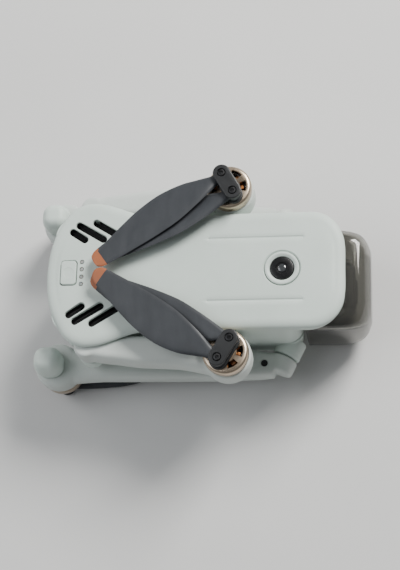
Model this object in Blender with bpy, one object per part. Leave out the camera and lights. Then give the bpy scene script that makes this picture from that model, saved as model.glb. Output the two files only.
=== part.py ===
"""Folding camera quadcopter, mini class, in its folded carrying pose.

+X points to the nose, +Y to the left side, +Z up, metres.
All dimensions below are in millimetres and are scaled by MM.
Every piece is a closed body of its own, and neighbours are 0.3 mm apart.
"""
import math

import bmesh
import bpy
from mathutils import Matrix, Vector

MM = 0.001
SHIFT_X = 64.4          # tail-edge coordinates to the centre of the overall length
GAP = 0.3               # running clearance between neighbouring pieces

DECK_TOP = 49.8
DECK_UNDER = 46.2
SEAM = 24.0

REAR_PIVOT = (18.0, -31.5)
REAR_HUB = (79.3, -36.8)
REAR_ARM_Z = (34.2, 45.9)
REAR_POD_TOP = 46.5

FRONT_PIVOT = (100.0, -33.0, 17.0)
FRONT_HUB = (0.0, -33.5)
FRONT_POD_LOW = 12.6
FOLD_AXIS = Vector((-0.42262, -0.90631, 0.0))

PIN_OFFSET = 4.8        # blade pins either side of the hub centre
YAW_AXIS = (118.0, 0.0)
CAMERA = (126.2, 0.0, 17.0)

for stale in list(bpy.data.objects):
    bpy.data.objects.remove(stale, do_unlink=True)


# ---------------------------------------------------------------- materials
def material(name, colour, rough, metal=0.0, alpha=1.0):
    mat = bpy.data.materials.new(name)
    mat.use_nodes = True
    bsdf = mat.node_tree.nodes["Principled BSDF"]
    bsdf.inputs["Base Color"].default_value = (*colour, 1.0)
    bsdf.inputs["Roughness"].default_value = rough
    bsdf.inputs["Metallic"].default_value = metal
    bsdf.inputs["Alpha"].default_value = alpha
    return mat


PALETTE = {
    "shell": ((0.56, 0.59, 0.57), 0.48, 0.0, 1.0),
    "arm": ((0.50, 0.53, 0.52), 0.5, 0.0, 1.0),
    "battery": ((0.44, 0.46, 0.46), 0.5, 0.0, 1.0),
    "blade": ((0.055, 0.060, 0.066), 0.42, 0.0, 1.0),
    "dark": ((0.020, 0.021, 0.023), 0.45, 0.0, 1.0),
    "lens": ((0.006, 0.007, 0.010), 0.08, 0.0, 1.0),
    "smoke": ((0.10, 0.10, 0.09), 0.12, 0.0, 0.45),
    "motor": ((0.42, 0.36, 0.29), 0.32, 1.0, 1.0),
    "winding": ((0.30, 0.11, 0.04), 0.4, 1.0, 1.0),
    "steel": ((0.50, 0.50, 0.52), 0.3, 1.0, 1.0),
    "sink": ((0.60, 0.61, 0.63), 0.38, 1.0, 1.0),
    "board": ((0.015, 0.075, 0.035), 0.5, 0.0, 1.0),
    "rubber": ((0.24, 0.25, 0.25), 0.75, 0.0, 1.0),
    "lamp": ((0.78, 0.77, 0.70), 0.3, 0.0, 1.0),
}


# ---------------------------------------------------------------- bodies
def place(point):
    return Vector(((point[0] - SHIFT_X) * MM, point[1] * MM, point[2] * MM))


def finish_mesh(bm, name):
    bmesh.ops.recalc_face_normals(bm, faces=bm.faces)
    mesh = bpy.data.meshes.new(name)
    bm.to_mesh(mesh)
    bm.free()
    obj = bpy.data.objects.new(name, mesh)
    bpy.context.scene.collection.objects.link(obj)
    return obj


def loft(name, rings):
    """Closed body through rings of equal count, each end capped."""
    bm = bmesh.new()
    rows = [[bm.verts.new(place(p)) for p in ring] for ring in rings]
    count = len(rows[0])
    for low, high in zip(rows, rows[1:]):
        for i in range(count):
            j = (i + 1) % count
            bm.faces.new((low[i], low[j], high[j], high[i]))
    bm.faces.new(rows[0])
    bm.faces.new(rows[-1])
    return finish_mesh(bm, name)


def lathe(name, profile, base, axis=(0, 0, 1), segments=22):
    """Turn a profile of (radius, height); a zero radius closes on the axis."""
    bm = bmesh.new()
    turn = Vector((0, 0, 1)).rotation_difference(Vector(axis)).to_matrix()
    rows = []
    for radius, height in profile:
        spots = []
        for k in range(segments if radius > 0 else 1):
            a = 2 * math.pi * k / segments
            local = turn @ Vector((radius * math.cos(a), radius * math.sin(a), height))
            spots.append(bm.verts.new(place(Vector(base) + local)))
        rows.append(spots)
    closed = profile[0][0] > 0
    pairs = list(zip(rows, rows[1:]))
    if closed:
        pairs.append((rows[-1], rows[0]))
    for low, high in pairs:
        for k in range(segments):
            n = (k + 1) % segments
            if len(low) == 1:
                bm.faces.new((low[0], high[k], high[n]))
            elif len(high) == 1:
                bm.faces.new((low[k], low[n], high[0]))
            else:
                bm.faces.new((low[k], low[n], high[n], high[k]))
    return finish_mesh(bm, name)


def rod(name, base, radius, length, axis=(0, 0, 1), segments=20, chamfer=0.0):
    if chamfer > 0:
        profile = [(0, 0), (radius - chamfer, 0), (radius, chamfer),
                   (radius, length - chamfer), (radius - chamfer, length), (0, length)]
    else:
        profile = [(0, 0), (radius, 0), (radius, length), (0, length)]
    return lathe(name, profile, base, axis, segments)


def rounded_outline(x0, x1, half, corner, steps=4, centre_y=0.0):
    """Rounded rectangle in plan, counter-clockwise."""
    points = []
    hubs = ((x1 - corner, half - corner, 0), (x0 + corner, half - corner, 90),
            (x0 + corner, corner - half, 180), (x1 - corner, corner - half, 270))
    for cx, cy, start in hubs:
        for k in range(steps + 1):
            a = math.radians(start + 90 * k / steps)
            points.append((cx + corner * math.cos(a), centre_y + cy + corner * math.sin(a)))
    return points


def slab(name, outline, z0, z1, edge=0.0):
    """Prism over a plan outline, with chamfered rims when edge is given."""
    cx = sum(p[0] for p in outline) / len(outline)
    cy = sum(p[1] for p in outline) / len(outline)

    def ring(inset, z):
        out = []
        for x, y in outline:
            away = Vector((x - cx, y - cy))
            scale = max(0.0, 1.0 - inset / max(away.length, 0.001))
            out.append((cx + away.x * scale, cy + away.y * scale, z))
        return out
    if edge <= 0:
        return loft(name, [ring(0, z0), ring(0, z1)])
    return loft(name, [ring(edge, z0), ring(0, z0 + edge), ring(0, z1 - edge), ring(edge, z1)])


def box(name, lo, hi, edge=0.0):
    outline = [(lo[0], lo[1]), (hi[0], lo[1]), (hi[0], hi[1]), (lo[0], hi[1])]
    obj = slab(name, outline, lo[2], hi[2])
    if edge > 0:
        bm = bmesh.new()
        bm.from_mesh(obj.data)
        bmesh.ops.bevel(bm, geom=bm.edges[:], offset=edge * MM, segments=2, affect="EDGES")
        bm.to_mesh(obj.data)
        bm.free()
    return obj


def combine(base, others, how):
    """Apply exact Booleans to base and drop the tools."""
    for tool in others:
        tool.hide_render = True
        tool.display_type = "WIRE"
        mod = base.modifiers.new("shape", "BOOLEAN")
        mod.operation = how
        mod.solver = "EXACT"
        mod.object = tool
    bpy.context.view_layer.update()
    graph = bpy.context.evaluated_depsgraph_get()
    made = bpy.data.meshes.new_from_object(base.evaluated_get(graph))
    base.modifiers.clear()
    base.data = made
    for tool in others:
        bpy.data.objects.remove(tool, do_unlink=True)
    return base


def add(base, *others):
    return combine(base, list(others), "UNION")


def cut(base, *others):
    return combine(base, list(others), "DIFFERENCE")


NODES = []


def node(obj, name, slot, pivot=None, smooth=True):
    """Name the piece, give it its own material and put its origin on its axis."""
    obj.name = name
    obj.data.name = name
    obj.data.materials.clear()
    obj.data.materials.append(material("mat_" + name, *PALETTE[slot]))
    for poly in obj.data.polygons:
        poly.material_index = 0
    bm = bmesh.new()
    bm.from_mesh(obj.data)
    bmesh.ops.remove_doubles(bm, verts=bm.verts, dist=0.00001)
    bmesh.ops.dissolve_degenerate(bm, edges=bm.edges, dist=0.00001)
    bmesh.ops.recalc_face_normals(bm, faces=bm.faces)
    for edge in bm.edges:
        edge.smooth = len(edge.link_faces) == 2 and edge.calc_face_angle(0) < math.radians(38)
    for face in bm.faces:
        face.smooth = smooth
    bm.to_mesh(obj.data)
    bm.free()
    if pivot is not None:
        spot = place(pivot)
        obj.data.transform(Matrix.Translation(-spot))
        obj.location = spot
    NODES.append(obj)
    return obj


def other_side(obj, name, slot, pivot=None):
    """Mirror a right-hand piece across the centre plane."""
    twin = bpy.data.objects.new(name, obj.data.copy())
    bpy.context.scene.collection.objects.link(twin)
    twin.data.transform(Matrix.Translation(obj.location))
    twin.data.transform(Matrix.Diagonal((1, -1, 1, 1)))
    twin.data.flip_normals()
    spot = None if pivot is None else (pivot[0], -pivot[1], pivot[2])
    return node(twin, name, slot, spot)


def both(obj, stem, slot, pivot=None):
    right = node(obj, stem + "_right", slot, pivot)
    other_side(right, stem + "_left", slot, pivot)


# ---------------------------------------------------------------- hull
DECK_HALF = ((0.0, 0.0), (0.3, 6.0), (1.2, 12.0), (3.0, 18.0), (5.6, 23.5), (8.6, 28.0),
             (12.0, 30.8), (16.0, 32.3), (20.0, 32.6), (25.0, 31.9), (30.0, 30.3),
             (35.0, 28.5), (40.0, 27.0), (46.0, 26.2), (54.0, 26.0), (90.0, 26.0),
             (112.0, 26.0), (117.5, 25.6), (122.0, 23.6), (125.8, 19.8), (128.2, 14.5),
             (129.0, 9.0), (129.0, 0.0))


def deck_outline(inset=0.0):
    mid = 60.0
    half = []
    for x, y in DECK_HALF:
        reach = 1.0 - inset / 66.0
        half.append((mid + (x - mid) * reach, max(0.0, y - inset * min(1.0, y / 14.0))))
    far = [(x, y) for x, y in half]
    near = [(x, -y) for x, y in reversed(half[1:-1])]
    return far + near


def deck():
    levels = ((46.2, 0.6), (47.2, 0.0), (48.8, 1.2), (49.8, 5.4))
    rings = [[(x, y, z) for x, y in deck_outline(inset)] for z, inset in levels]
    return loft("deck", rings)


def slot_tool(start, end, width, z0, z1):
    a, b = Vector(start), Vector(end)
    run = (b - a).normalized()
    points = []
    for centre, base in ((b, -90), (a, 90)):
        for k in range(5):
            t = math.radians(base + 45 * k)
            side = Vector((math.cos(t) * run.x - math.sin(t) * run.y,
                           math.cos(t) * run.y + math.sin(t) * run.x))
            points.append(tuple(centre + side * width / 2))
    return slab("tool", points, z0, z1)


VENTS = (((10.9, 18.8), (16.3, 15.2)), ((13.7, 21.8), (24.6, 15.2)), ((21.2, 22.8), (32.6, 15.8)))


def nose_outline(x0, x1, half, corner=15.5, steps=5):
    """Plan of the nose: broad corners in front, square ones inside the walls."""
    points = []
    for sign, start in ((1, 0), (-1, 270)):
        arc = []
        for k in range(steps + 1):
            a = math.radians(start + 90 * k / steps)
            arc.append((x1 - corner + corner * math.cos(a),
                        sign * (half - corner) + corner * math.sin(a)))
        points.append(arc)
    return points[0] + [(x0, half), (x0, -half)] + points[1]


def upper_shell():
    walls = loft("walls", [[(x, y, z) for x, y in rounded_outline(x0, 110, 25.8, 8)]
                           for x0, z in ((4.0, SEAM), (3.0, 40.0), (3.0, 47.0))])
    nose_levels = ((37.8, 106.0, 123.0, 19.5), (39.2, 103.0, 126.0, 23.0),
                   (42.0, 101.0, 128.0, 25.2), (47.5, 101.0, 128.8, 25.8))
    nose = loft("nose", [[(x, y, z) for x, y in nose_outline(x0, x1, w)]
                         for z, x0, x1, w in nose_levels])
    shell = add(deck(), walls, nose)
    lugs = []
    for side in (-1, 1):
        y = REAR_PIVOT[1] * -side
        lugs.append(rod("lug", (REAR_PIVOT[0], y, 27.6), 5.3, 6.3, chamfer=0.8))
        inner, outer = sorted((y, side * 24.6))
        lugs.append(box("web", (13.6, inner, 28.4), (22.4, outer, 33.4)))
    add(shell, *lugs)
    tools = [slab("tool", rounded_outline(-6, 107.6, 23.9, 3.4, 3), 20, DECK_UNDER - 0.05)]
    for side in (-1, 1):
        y = REAR_PIVOT[1] * -side
        tools.append(rod("tool", (REAR_PIVOT[0], y, 20), 1.8, 18.0, segments=16))
        for start, end in VENTS:
            tools.append(slot_tool((start[0], start[1] * side), (end[0], end[1] * side),
                                   3.0, 40, 55))
        tools.append(slot_tool((72, 14.0 * side), (111, 14.0 * side), 1.4, 49.4, 55))
        tools.append(rod("tool", (126.2, 11.0 * side, 44.2), 2.9, 8, (1, 0, 0), 16))
    tools.append(slab("tool", rounded_outline(6.3, 13.7, 5.7, 1.6, 3), 40, 55))
    tools.append(rod("tool", (102.5, 0, 47.6), 7.7, 8))
    tools.append(box("tool", (14.7, -6.7, 40), (16.9, 6.3, 48.6)))
    for y in LED_Y:
        tools.append(rod("tool", (15.8, y, 47), 1.0, 8, segments=12))
    cut(shell, *tools)
    node(shell, "upper_shell", "shell")


LED_Y = (4.8, 1.5, -1.9, -5.2)


def lower_shell():
    levels = ((0.0, 18.0, 92.0, 11.6, 6.0), (1.2, 15.0, 95.0, 13.6, 8.0),
              (8.0, 12.0, 98.0, 15.6, 8.0), (9.6, 9.0, 101.0, 18.0, 8.0),
              (10.6, 5.4, 107.0, 24.4, 7.0), (12.0, 4.0, 109.0, 25.4, 6.0),
              (SEAM - GAP, 4.0, 110.0, 25.8, 6.0))
    rings = [[(x, y, z) for x, y in rounded_outline(x0, x1, w, r)]
             for z, x0, x1, w, r in levels]
    shell = loft("lower", rings)
    brackets = []
    pins = []
    for side in (-1, 1):
        axis = Vector((FOLD_AXIS.x, FOLD_AXIS.y * -side, 0))
        hub = Vector((FRONT_PIVOT[0], FRONT_PIVOT[1] * -side, FRONT_PIVOT[2]))
        brackets.append(rod("bracket", hub - axis * 3.3, 6.0, 8.5, -axis, chamfer=0.6))
        pins.append(rod("tool", hub, 1.8, 10.5, -axis, 16))
    add(shell, *brackets)
    inner = ((2.6, 20.0, 88.0, 11.4, 5.0), (8.4, 14.0, 96.0, 13.8, 5.0),
             (11.8, 8.0, 104.6, 19.8, 5.0), (13.4, 8.0, 105.0, 21.6, 5.0), (26.0, 7.0, 106.0, 22.6, 5.0))
    hollow = loft("tool", [[(x, y, z) for x, y in rounded_outline(x0, x1, w, r)]
                           for z, x0, x1, w, r in inner])
    panel = slab("tool", rounded_outline(52, 88, 9.3, 3.0, 3), -3, 1.9)
    lamp = rod("tool", (40, 0, -3), 4.1, 4.9, segments=20)
    cut(shell, hollow, panel, lamp, *pins)
    node(shell, "lower_shell", "shell")


def hull_details():
    tray = slab("tray", rounded_outline(9.2, 107.2, 23.5, 3.0, 3), SEAM, SEAM + 1.0)
    node(tray, "battery_tray", "dark")
    ring = [(5.3, 47.9), (7.4, 47.9), (7.4, 50.0), (6.9, 50.5), (5.6, 50.2), (5.3, 49.9)]
    node(lathe("ring", ring, (102.5, 0, 0), segments=32), "top_sensor_bezel", "shell")
    dome = [(0, 47.9), (5.0, 47.9), (5.0, 49.8), (3.6, 50.25), (1.8, 50.45), (0, 50.5)]
    node(lathe("dome", dome, (102.5, 0, 0)), "top_sensor_lens", "lens")
    key = slab("key", rounded_outline(6.6, 13.4, 5.4, 1.4, 3), 46.7, 50.1, 0.35)
    node(key, "power_button", "shell", (10, 0, 48.4))
    strip = box("strip", (15.0, -6.4, 46.5), (16.6, 6.0, 48.3))
    dots = [rod("dot", (15.8, y, 48.0), 0.7, 1.75, segments=12) for y in LED_Y]
    node(add(strip, *dots), "led_strip", "lamp")
    plate = slab("plate", ((9.2, -23.4), (36.0, -23.4), (36.0, -12.6), (9.2, -12.6)), 45.1, 45.8)
    ribs = []
    for start, end in VENTS:
        ribs.append(slot_tool((start[0], -start[1]), (end[0], -end[1]), 0.8, 45.5, 47.4))
    both(add(plate, *ribs), "vent_grille", "dark")
    for side, tag in ((-1, "right"), (1, "left")):
        eye = rod("eye", (126.4, 11.0 * side, 44.2), 2.6, 2.2, (1, 0, 0), 20, 0.3)
        node(eye, "front_sensor_" + tag, "lens")


def electronics():
    board = slab("board", rounded_outline(20, 94, 13.2, 2.0, 3), 9.6, 11.1)
    for x in (24, 90):
        for y in (-10.5, 10.5):
            cut(board, rod("tool", (x, y, 5), 1.2, 10, segments=12))
    node(board, "main_board", "board")
    sink = box("sink", (28, -10.6, 4.6), (84, 10.6, 9.3))
    grooves = [box("tool", (20, -9.0 + 3.6 * k - 0.8, 2), (90, -9.0 + 3.6 * k + 0.8, 7.7))
               for k in range(6)]
    node(cut(sink, *grooves), "heat_sink", "sink")
    panel = slab("panel", rounded_outline(52.3, 87.7, 9.0, 2.7, 3), 0.25, 1.6, 0.25)
    for x in EYES_X:
        cut(panel, rod("tool", (x, 0, -3), 3.1, 8, segments=20))
    node(panel, "belly_sensor_panel", "dark")
    for x, tag in zip(EYES_X, ("rear", "front")):
        eye = rod("eye", (x, 0, 0.1), 2.8, 1.5, segments=20, chamfer=0.3)
        node(eye, "belly_lens_" + tag, "lens")
    node(rod("lamp", (40, 0, 0.15), 3.8, 1.45, segments=20, chamfer=0.3), "belly_lamp", "lamp")
    flap = box("flap", (2.5, 5.0, 13.0), (3.7, 18.0, 21.4), 0.3)
    node(flap, "port_cover", "rubber", (3.1, 11.5, 13.6))


EYES_X = (59.0, 81.0)


def battery():
    case = slab("case", rounded_outline(9.0, 80.0, 22.4, 3.0, 3), 25.3, 44.8, 0.8)
    node(case, "battery_case", "dark", (9.0, 0, 35))
    half = ((1.0, 0.0), (1.3, 6.0), (2.2, 12.0), (4.0, 18.0), (6.0, 22.0), (7.4, 23.4), (8.7, 23.4))
    outline = list(half) + [(x, -y) for x, y in reversed(half[1:])]
    cap = slab("cap", outline, 24.3, 45.9, 0.6)
    pockets = [box("tool", (-2, min(a * 15.2, a * 20.4), 29.4), (6.4, max(a * 15.2, a * 20.4), 40.6))
               for a in (-1, 1)]
    node(cut(cap, *pockets), "battery_cap", "battery", (8.7, 0, 35))
    latch = slab("latch", ((3.9, -16.6), (3.9, -20.1), (6.1, -20.1), (6.1, -16.6)), 29.7, 40.3)
    grips = [box("tool", (2.6, -22, z - 0.35), (4.3, -14, z + 0.35)) for z in (32, 34, 36, 38)]
    both(cut(latch, *grips), "battery_latch", "rubber", (5.0, -18.3, 35))


# ---------------------------------------------------------------- arms
def beam_ring(x, y, half, z0, z1, corner):
    """Rounded upright section across the run of an arm."""
    points = []
    cz = (z0 + z1) / 2
    tall = (z1 - z0) / 2
    hubs = ((half - corner, tall - corner, 0), (corner - half, tall - corner, 90),
            (corner - half, corner - tall, 180), (half - corner, corner - tall, 270))
    for cy, ch, start in hubs:
        for k in range(3):
            a = math.radians(start + 45 * k)
            points.append((x, y + cy + corner * math.cos(a), cz + ch + corner * math.sin(a)))
    return points


def rear_arms():
    px, py = REAR_PIVOT
    hx, hy = REAR_HUB
    z0, z1 = REAR_ARM_Z
    stations = ((px, py, 5.0, z0 + 0.2, z1 - 0.1), (28, -32.4, 5.6, z0 + 0.2, z1 - 0.1),
                (42, -33.4, 6.4, z0, z1), (58, -34.4, 6.4, z0 + 0.6, z1), (hx - 4, hy, 7.4, z0 + 1, z1 + 0.2))
    beam = loft("beam", [beam_ring(x, y, h, a, b, 2.6) for x, y, h, a, b in stations])
    knuckle = rod("knuckle", (px, py, z0), 5.25, z1 - z0, chamfer=0.5)
    pod = lathe("pod", [(0, 33.4), (7.4, 33.4), (9.8, 35.2), (10.4, 37.4), (10.4, REAR_POD_TOP - 0.6),
                        (9.8, REAR_POD_TOP), (0, REAR_POD_TOP)], (hx, hy, 0))
    add(beam, knuckle, pod)
    cut(beam, rod("tool", (px, py, 20), 1.8, 40, segments=16))
    both(beam, "rear_arm", "arm", (px, py, 40))
    both(rod("pin", (px, py, 27.9), 1.5, 17.9, segments=16), "rear_hinge_pin", "steel")


def front_arms():
    qx, qy, qz = FRONT_PIVOT
    hx, hy = FRONT_HUB
    hub = Vector(FRONT_PIVOT)
    stations = ((hx + 4, hy, 7.4, 12.9, 21.8), (22, -33.8, 6.2, 12.4, 21.8),
                (44, -33.8, 6.2, 11.6, 22.2), (70, -33.8, 6.2, 11.4, 22.6),
                (88, -33.6, 6.0, 11.4, 22.6), (96.6, -33.9, 5.2, 11.7, 22.3))
    beam = loft("beam", [beam_ring(x, y, h, a, b, 2.6) for x, y, h, a, b in stations])
    knuckle = rod("knuckle", hub - FOLD_AXIS * 3.0, 5.9, 7.4, FOLD_AXIS, chamfer=0.5)
    pod = lathe("pod", [(0, FRONT_POD_LOW), (9.6, FRONT_POD_LOW), (10.2, FRONT_POD_LOW + 0.6),
                        (10.2, 20.4), (9.0, 22.0), (0, 22.0)], (hx, hy, 0))
    add(beam, knuckle, pod)
    tools = [rod("tool", hub - FOLD_AXIS * 6, 1.8, 8.4, FOLD_AXIS, 16)]
    tools.append(box("tool", (-12, hy - 2.1, 15.6), (-8.1, hy + 2.1, 19.0)))
    cut(beam, *tools)
    both(beam, "front_arm", "arm", FRONT_PIVOT)
    pin = rod("pin", hub - FOLD_AXIS * 10.0, 1.5, 12.0, FOLD_AXIS, 16)
    both(pin, "front_hinge_pin", "steel")
    levels = ((22.3, 0.2), (28.0, 0.0), (31.4, 0.8), (33.1, 2.2), (34.0, 4.0))
    foot = loft("foot", [[(x, y, z) for x, y in rounded_outline(i - 8.8, 3.6 - i, 6.2 - i, 5.0 - i, 5, hy)]
                         for z, i in levels])
    both(foot, "landing_leg", "shell")
    both(box("lamp", (-9.7, hy - 1.8, 15.9), (-8.4, hy + 1.8, 18.7), 0.2), "status_lamp", "lamp")


# ---------------------------------------------------------------- motors and propellers
def capsule(name, half_length, radius, z0, z1):
    points = []
    for sign, base in ((1, 0), (-1, 180)):
        for k in range(7):
            a = math.radians(base + 30 * k)
            points.append((radius * math.cos(a), sign * half_length + radius * math.sin(a)))
    return slab(name, points, z0, z1)


BLADE_SPAN = ((2.0, 4.4, 2.2, 0.0, 0.0, 0.0), (5.0, 5.6, 2.0, 3.0, 0.1, 0.0),
              (10.0, 9.0, 1.7, 12.5, 0.7, 0.6), (17.0, 13.2, 1.3, 13.5, 1.0, 1.4),
              (27.0, 16.4, 1.2, 12.0, 1.0, 1.7), (38.0, 15.8, 1.1, 10.5, 1.0, 1.6),
              (48.0, 13.2, 1.0, 9.2, 1.0, 1.1), (57.0, 10.2, 0.9, 8.2, 1.0, 0.5),
              (64.2, 7.2, 0.85, 7.6, 1.0, 0.0), (66.5, 3.8, 0.8, 7.4, 1.0, 0.0))
MID_BOSS = 8.75
HIGH_SET = 0.65
LOW_SET = -0.85


def blade_local(level):
    """Blade lying along +X from its pin; the high edge is on the -Y side."""
    rings = []
    for x, chord, thick, pitch, share, drift in BLADE_SPAN:
        slope = math.tan(math.radians(pitch))
        ring = []
        for f, h in ((-0.5, 0.0), (-0.34, 0.5), (0.1, 0.6), (0.5, 0.05),
                     (0.5, -0.05), (0.1, -0.4), (-0.34, -0.4)):
            y = f * chord + drift
            ring.append((x, y, MID_BOSS + level * share - y * slope + h * thick))
        rings.append(ring)
    return rings


def local_to_world(hub, top, up, heading):
    """Map prop-local points: hub spot, height of the pod face, up sense and heading."""
    c, s = math.cos(math.radians(heading)), math.sin(math.radians(heading))

    def move(p):
        return (hub[0] + c * p[0] - s * p[1], hub[1] + s * p[0] + c * p[1], top + up * p[2])
    return move


def reshape(obj, move):
    for vertex in obj.data.vertices:
        x = vertex.co.x / MM + SHIFT_X
        vertex.co = place(move((x, vertex.co.y / MM, vertex.co.z / MM)))
    return obj


def turned_blade(pin_y, swing, level):
    boss = lathe("boss", [(1.6, 7.2), (3.2, 7.2), (3.2, 10.3), (1.6, 10.3)], (0, 0, 0), segments=14)
    vane = loft("vane", blade_local(level))
    add(boss, vane)
    cut(boss, rod("tool", (0, 0, 0), 1.6, 20, segments=14))
    c, s = math.cos(math.radians(swing)), math.sin(math.radians(swing))
    return reshape(boss, lambda p: (c * p[0] - s * p[1], pin_y + s * p[0] + c * p[1], p[2]))


def propulsion(stem, hub, top, up, heading, high_swing, low_swing):
    move = local_to_world(hub, top, up, heading)
    level = (hub[0], hub[1], top)
    stator = lathe("stator", [(1.9, 0.3), (7.6, 0.3), (7.9, 0.8), (7.9, 3.4), (1.9, 3.7)], (0, 0, 0))
    both(reshape(stator, move), stem + "_stator", "winding")
    cup = lathe("cup", [(0, 0.6), (1.5, 0.6), (1.5, 4.2), (8.6, 4.2), (8.6, 0.5), (9.6, 0.5),
                        (9.8, 0.9), (9.8, 4.7), (8.9, 5.7), (0, 5.7)], (0, 0, 0))
    bits = [capsule("plate", PIN_OFFSET, 4.0, 5.4, 6.9), capsule("cover", PIN_OFFSET, 3.8, 10.6, 12.0)]
    for y, radius in ((-PIN_OFFSET, 1.3), (0.0, 1.1), (PIN_OFFSET, 1.3)):
        bits.append(rod("post", (0, y, 6.4), radius, 4.8, segments=10))
    add(cup, *bits)
    both(reshape(cup, move), stem + "_rotor", "motor", level)
    pins = {"high": PIN_OFFSET, "low": -PIN_OFFSET}
    swings = {"high": high_swing, "low": low_swing}
    heights = {"high": HIGH_SET, "low": LOW_SET}
    for which in ("high", "low"):
        blade = turned_blade(pins[which], swings[which], heights[which])
        spot = move((0, pins[which], MID_BOSS))
        both(reshape(blade, move), stem + "_blade_" + which, "blade", spot)


# ---------------------------------------------------------------- camera gimbal
def gimbal():
    yx, yy = YAW_AXIS
    cx, cy, cz = CAMERA
    mount = box("mount", (110.3, -12, 27.5), (111.4, 12, 35.2))
    beam = box("beam", (111.2, -7, 32.0), (123.5, 7, 35.2))
    boss = rod("boss", (yx, yy, 31.6), 5.2, 2.0)
    node(add(mount, beam, boss), "gimbal_mount", "dark")
    yaw = rod("yaw", (yx, yy, 27.9), 5.8, 3.4, chamfer=0.4)
    neck = box("neck", (112.6, -3.2, 13.0), (114.6, 3.2, 30.6))
    bridge = box("bridge", (113.6, -3.2, 28.3), (117.0, 3.2, 30.5))
    drum = rod("drum", (112.8, 0, cz), 5.0, 1.9, (1, 0, 0))
    node(add(yaw, neck, bridge, drum), "yaw_arm", "battery", (yx, yy, 29.5))
    roll = rod("roll", (115.0, 0, cz), 5.4, 1.6, (1, 0, 0))
    rail = box("rail", (115.2, 0, cz - 3.4), (116.5, 13.8, cz + 3.4))
    cheek = box("cheek", (115.3, 11.8, cz - 3.4), (cx + 3.5, 13.7, cz + 3.4))
    disc = rod("disc", (cx, 11.9, cz), 4.8, 1.7, (0, 1, 0))
    node(add(roll, rail, cheek, disc), "roll_arm", "battery", (115.8, 0, cz))
    head = box("head", (cx - 6.4, -10.6, cz - 6.4), (cx + 6.6, 10.2, cz + 6.4), 1.8)
    hub = rod("hub", (cx, 9.8, cz), 4.4, 1.7, (0, 1, 0))
    barrel = rod("barrel", (cx + 5.9, -1.0, cz), 5.4, 1.9, (1, 0, 0))
    add(head, hub, barrel)
    cut(head, rod("tool", (cx + 5.1, -1.0, cz), 4.4, 9, (1, 0, 0)))
    node(head, "camera_head", "dark", (cx, 0, cz))
    glass = [(0, 0), (4.1, 0), (4.1, 1.6), (2.4, 2.1), (0, 2.3)]
    node(lathe("glass", glass, (cx + 5.4, -1.0, cz), (1, 0, 0)), "camera_lens", "lens")
    shield = ((111.0, 22.6, 5.2, 37.3, 5.0), (126.0, 22.6, 4.0, 37.3, 6.0), (133.6, 21.4, 4.8, 36.6, 7.0),
              (137.0, 19.2, 7.0, 34.6, 8.0), (139.0, 15.6, 10.8, 31.0, 8.0))
    outer = loft("outer", [beam_ring(x, 0, w, a, b, r) for x, w, a, b, r in shield])
    hollow = [beam_ring(x - 1.2, 0, w - 1.2, a + 1.2, b - 1.2, r - 1.2) for x, w, a, b, r in shield]
    front = [(105.0, y, z) for _, y, z in hollow[0]]
    cut(outer, loft("tool", [front] + hollow))
    node(outer, "gimbal_guard", "smoke", (111.0, 0, 20))


upper_shell()
lower_shell()
hull_details()
electronics()
battery()
rear_arms()
front_arms()
propulsion("rear", REAR_HUB, REAR_POD_TOP, 1, 149.5, -5.4, 5.0)
propulsion("front", FRONT_HUB, FRONT_POD_LOW, -1, 5.0, -4.4, 8.0)
gimbal()
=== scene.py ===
"""Looks for the folding camera quadcopter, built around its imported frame.

Lengths are millimetres: x counts forward from the tail edge of the deck, y counts from the
centre plane, left being positive, and z counts up from the lowest point. at() turns them into
the frame's metres. Paired pieces are made on the right and mirrored to the left.
"""
import math

import bmesh
import bpy
from mathutils import Matrix, Vector


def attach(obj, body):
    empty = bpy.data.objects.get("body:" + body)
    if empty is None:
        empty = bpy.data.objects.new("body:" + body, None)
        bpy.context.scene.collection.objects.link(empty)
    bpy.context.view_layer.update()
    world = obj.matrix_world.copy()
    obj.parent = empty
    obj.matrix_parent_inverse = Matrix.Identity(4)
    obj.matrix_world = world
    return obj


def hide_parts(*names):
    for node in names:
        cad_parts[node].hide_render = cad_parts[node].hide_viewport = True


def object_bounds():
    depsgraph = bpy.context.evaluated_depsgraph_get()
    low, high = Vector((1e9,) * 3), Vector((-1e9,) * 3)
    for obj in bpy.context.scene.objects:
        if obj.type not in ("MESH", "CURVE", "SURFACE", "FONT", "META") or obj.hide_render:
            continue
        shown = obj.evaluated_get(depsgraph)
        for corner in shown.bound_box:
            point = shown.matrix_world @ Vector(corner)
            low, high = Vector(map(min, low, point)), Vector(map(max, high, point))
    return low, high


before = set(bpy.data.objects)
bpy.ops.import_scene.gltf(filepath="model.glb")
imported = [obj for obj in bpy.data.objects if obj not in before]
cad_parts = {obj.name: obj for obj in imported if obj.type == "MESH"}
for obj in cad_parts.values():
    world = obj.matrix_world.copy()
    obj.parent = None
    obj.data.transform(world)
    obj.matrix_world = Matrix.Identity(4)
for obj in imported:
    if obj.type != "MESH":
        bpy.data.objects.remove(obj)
CAD_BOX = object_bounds()

MM = 0.001
SHIFT_X = 64.4  # from the deck's tail edge to the frame's origin
WELD = 0.0000005  # metres within which two points are one
MELT_VOXEL, MELT_ROUNDS = 0.45, 7  # grain of a fused skin, and how often it is smoothed
ARM_RINGS = 40
SIDES = (("right", -1), ("left", 1))

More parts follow.
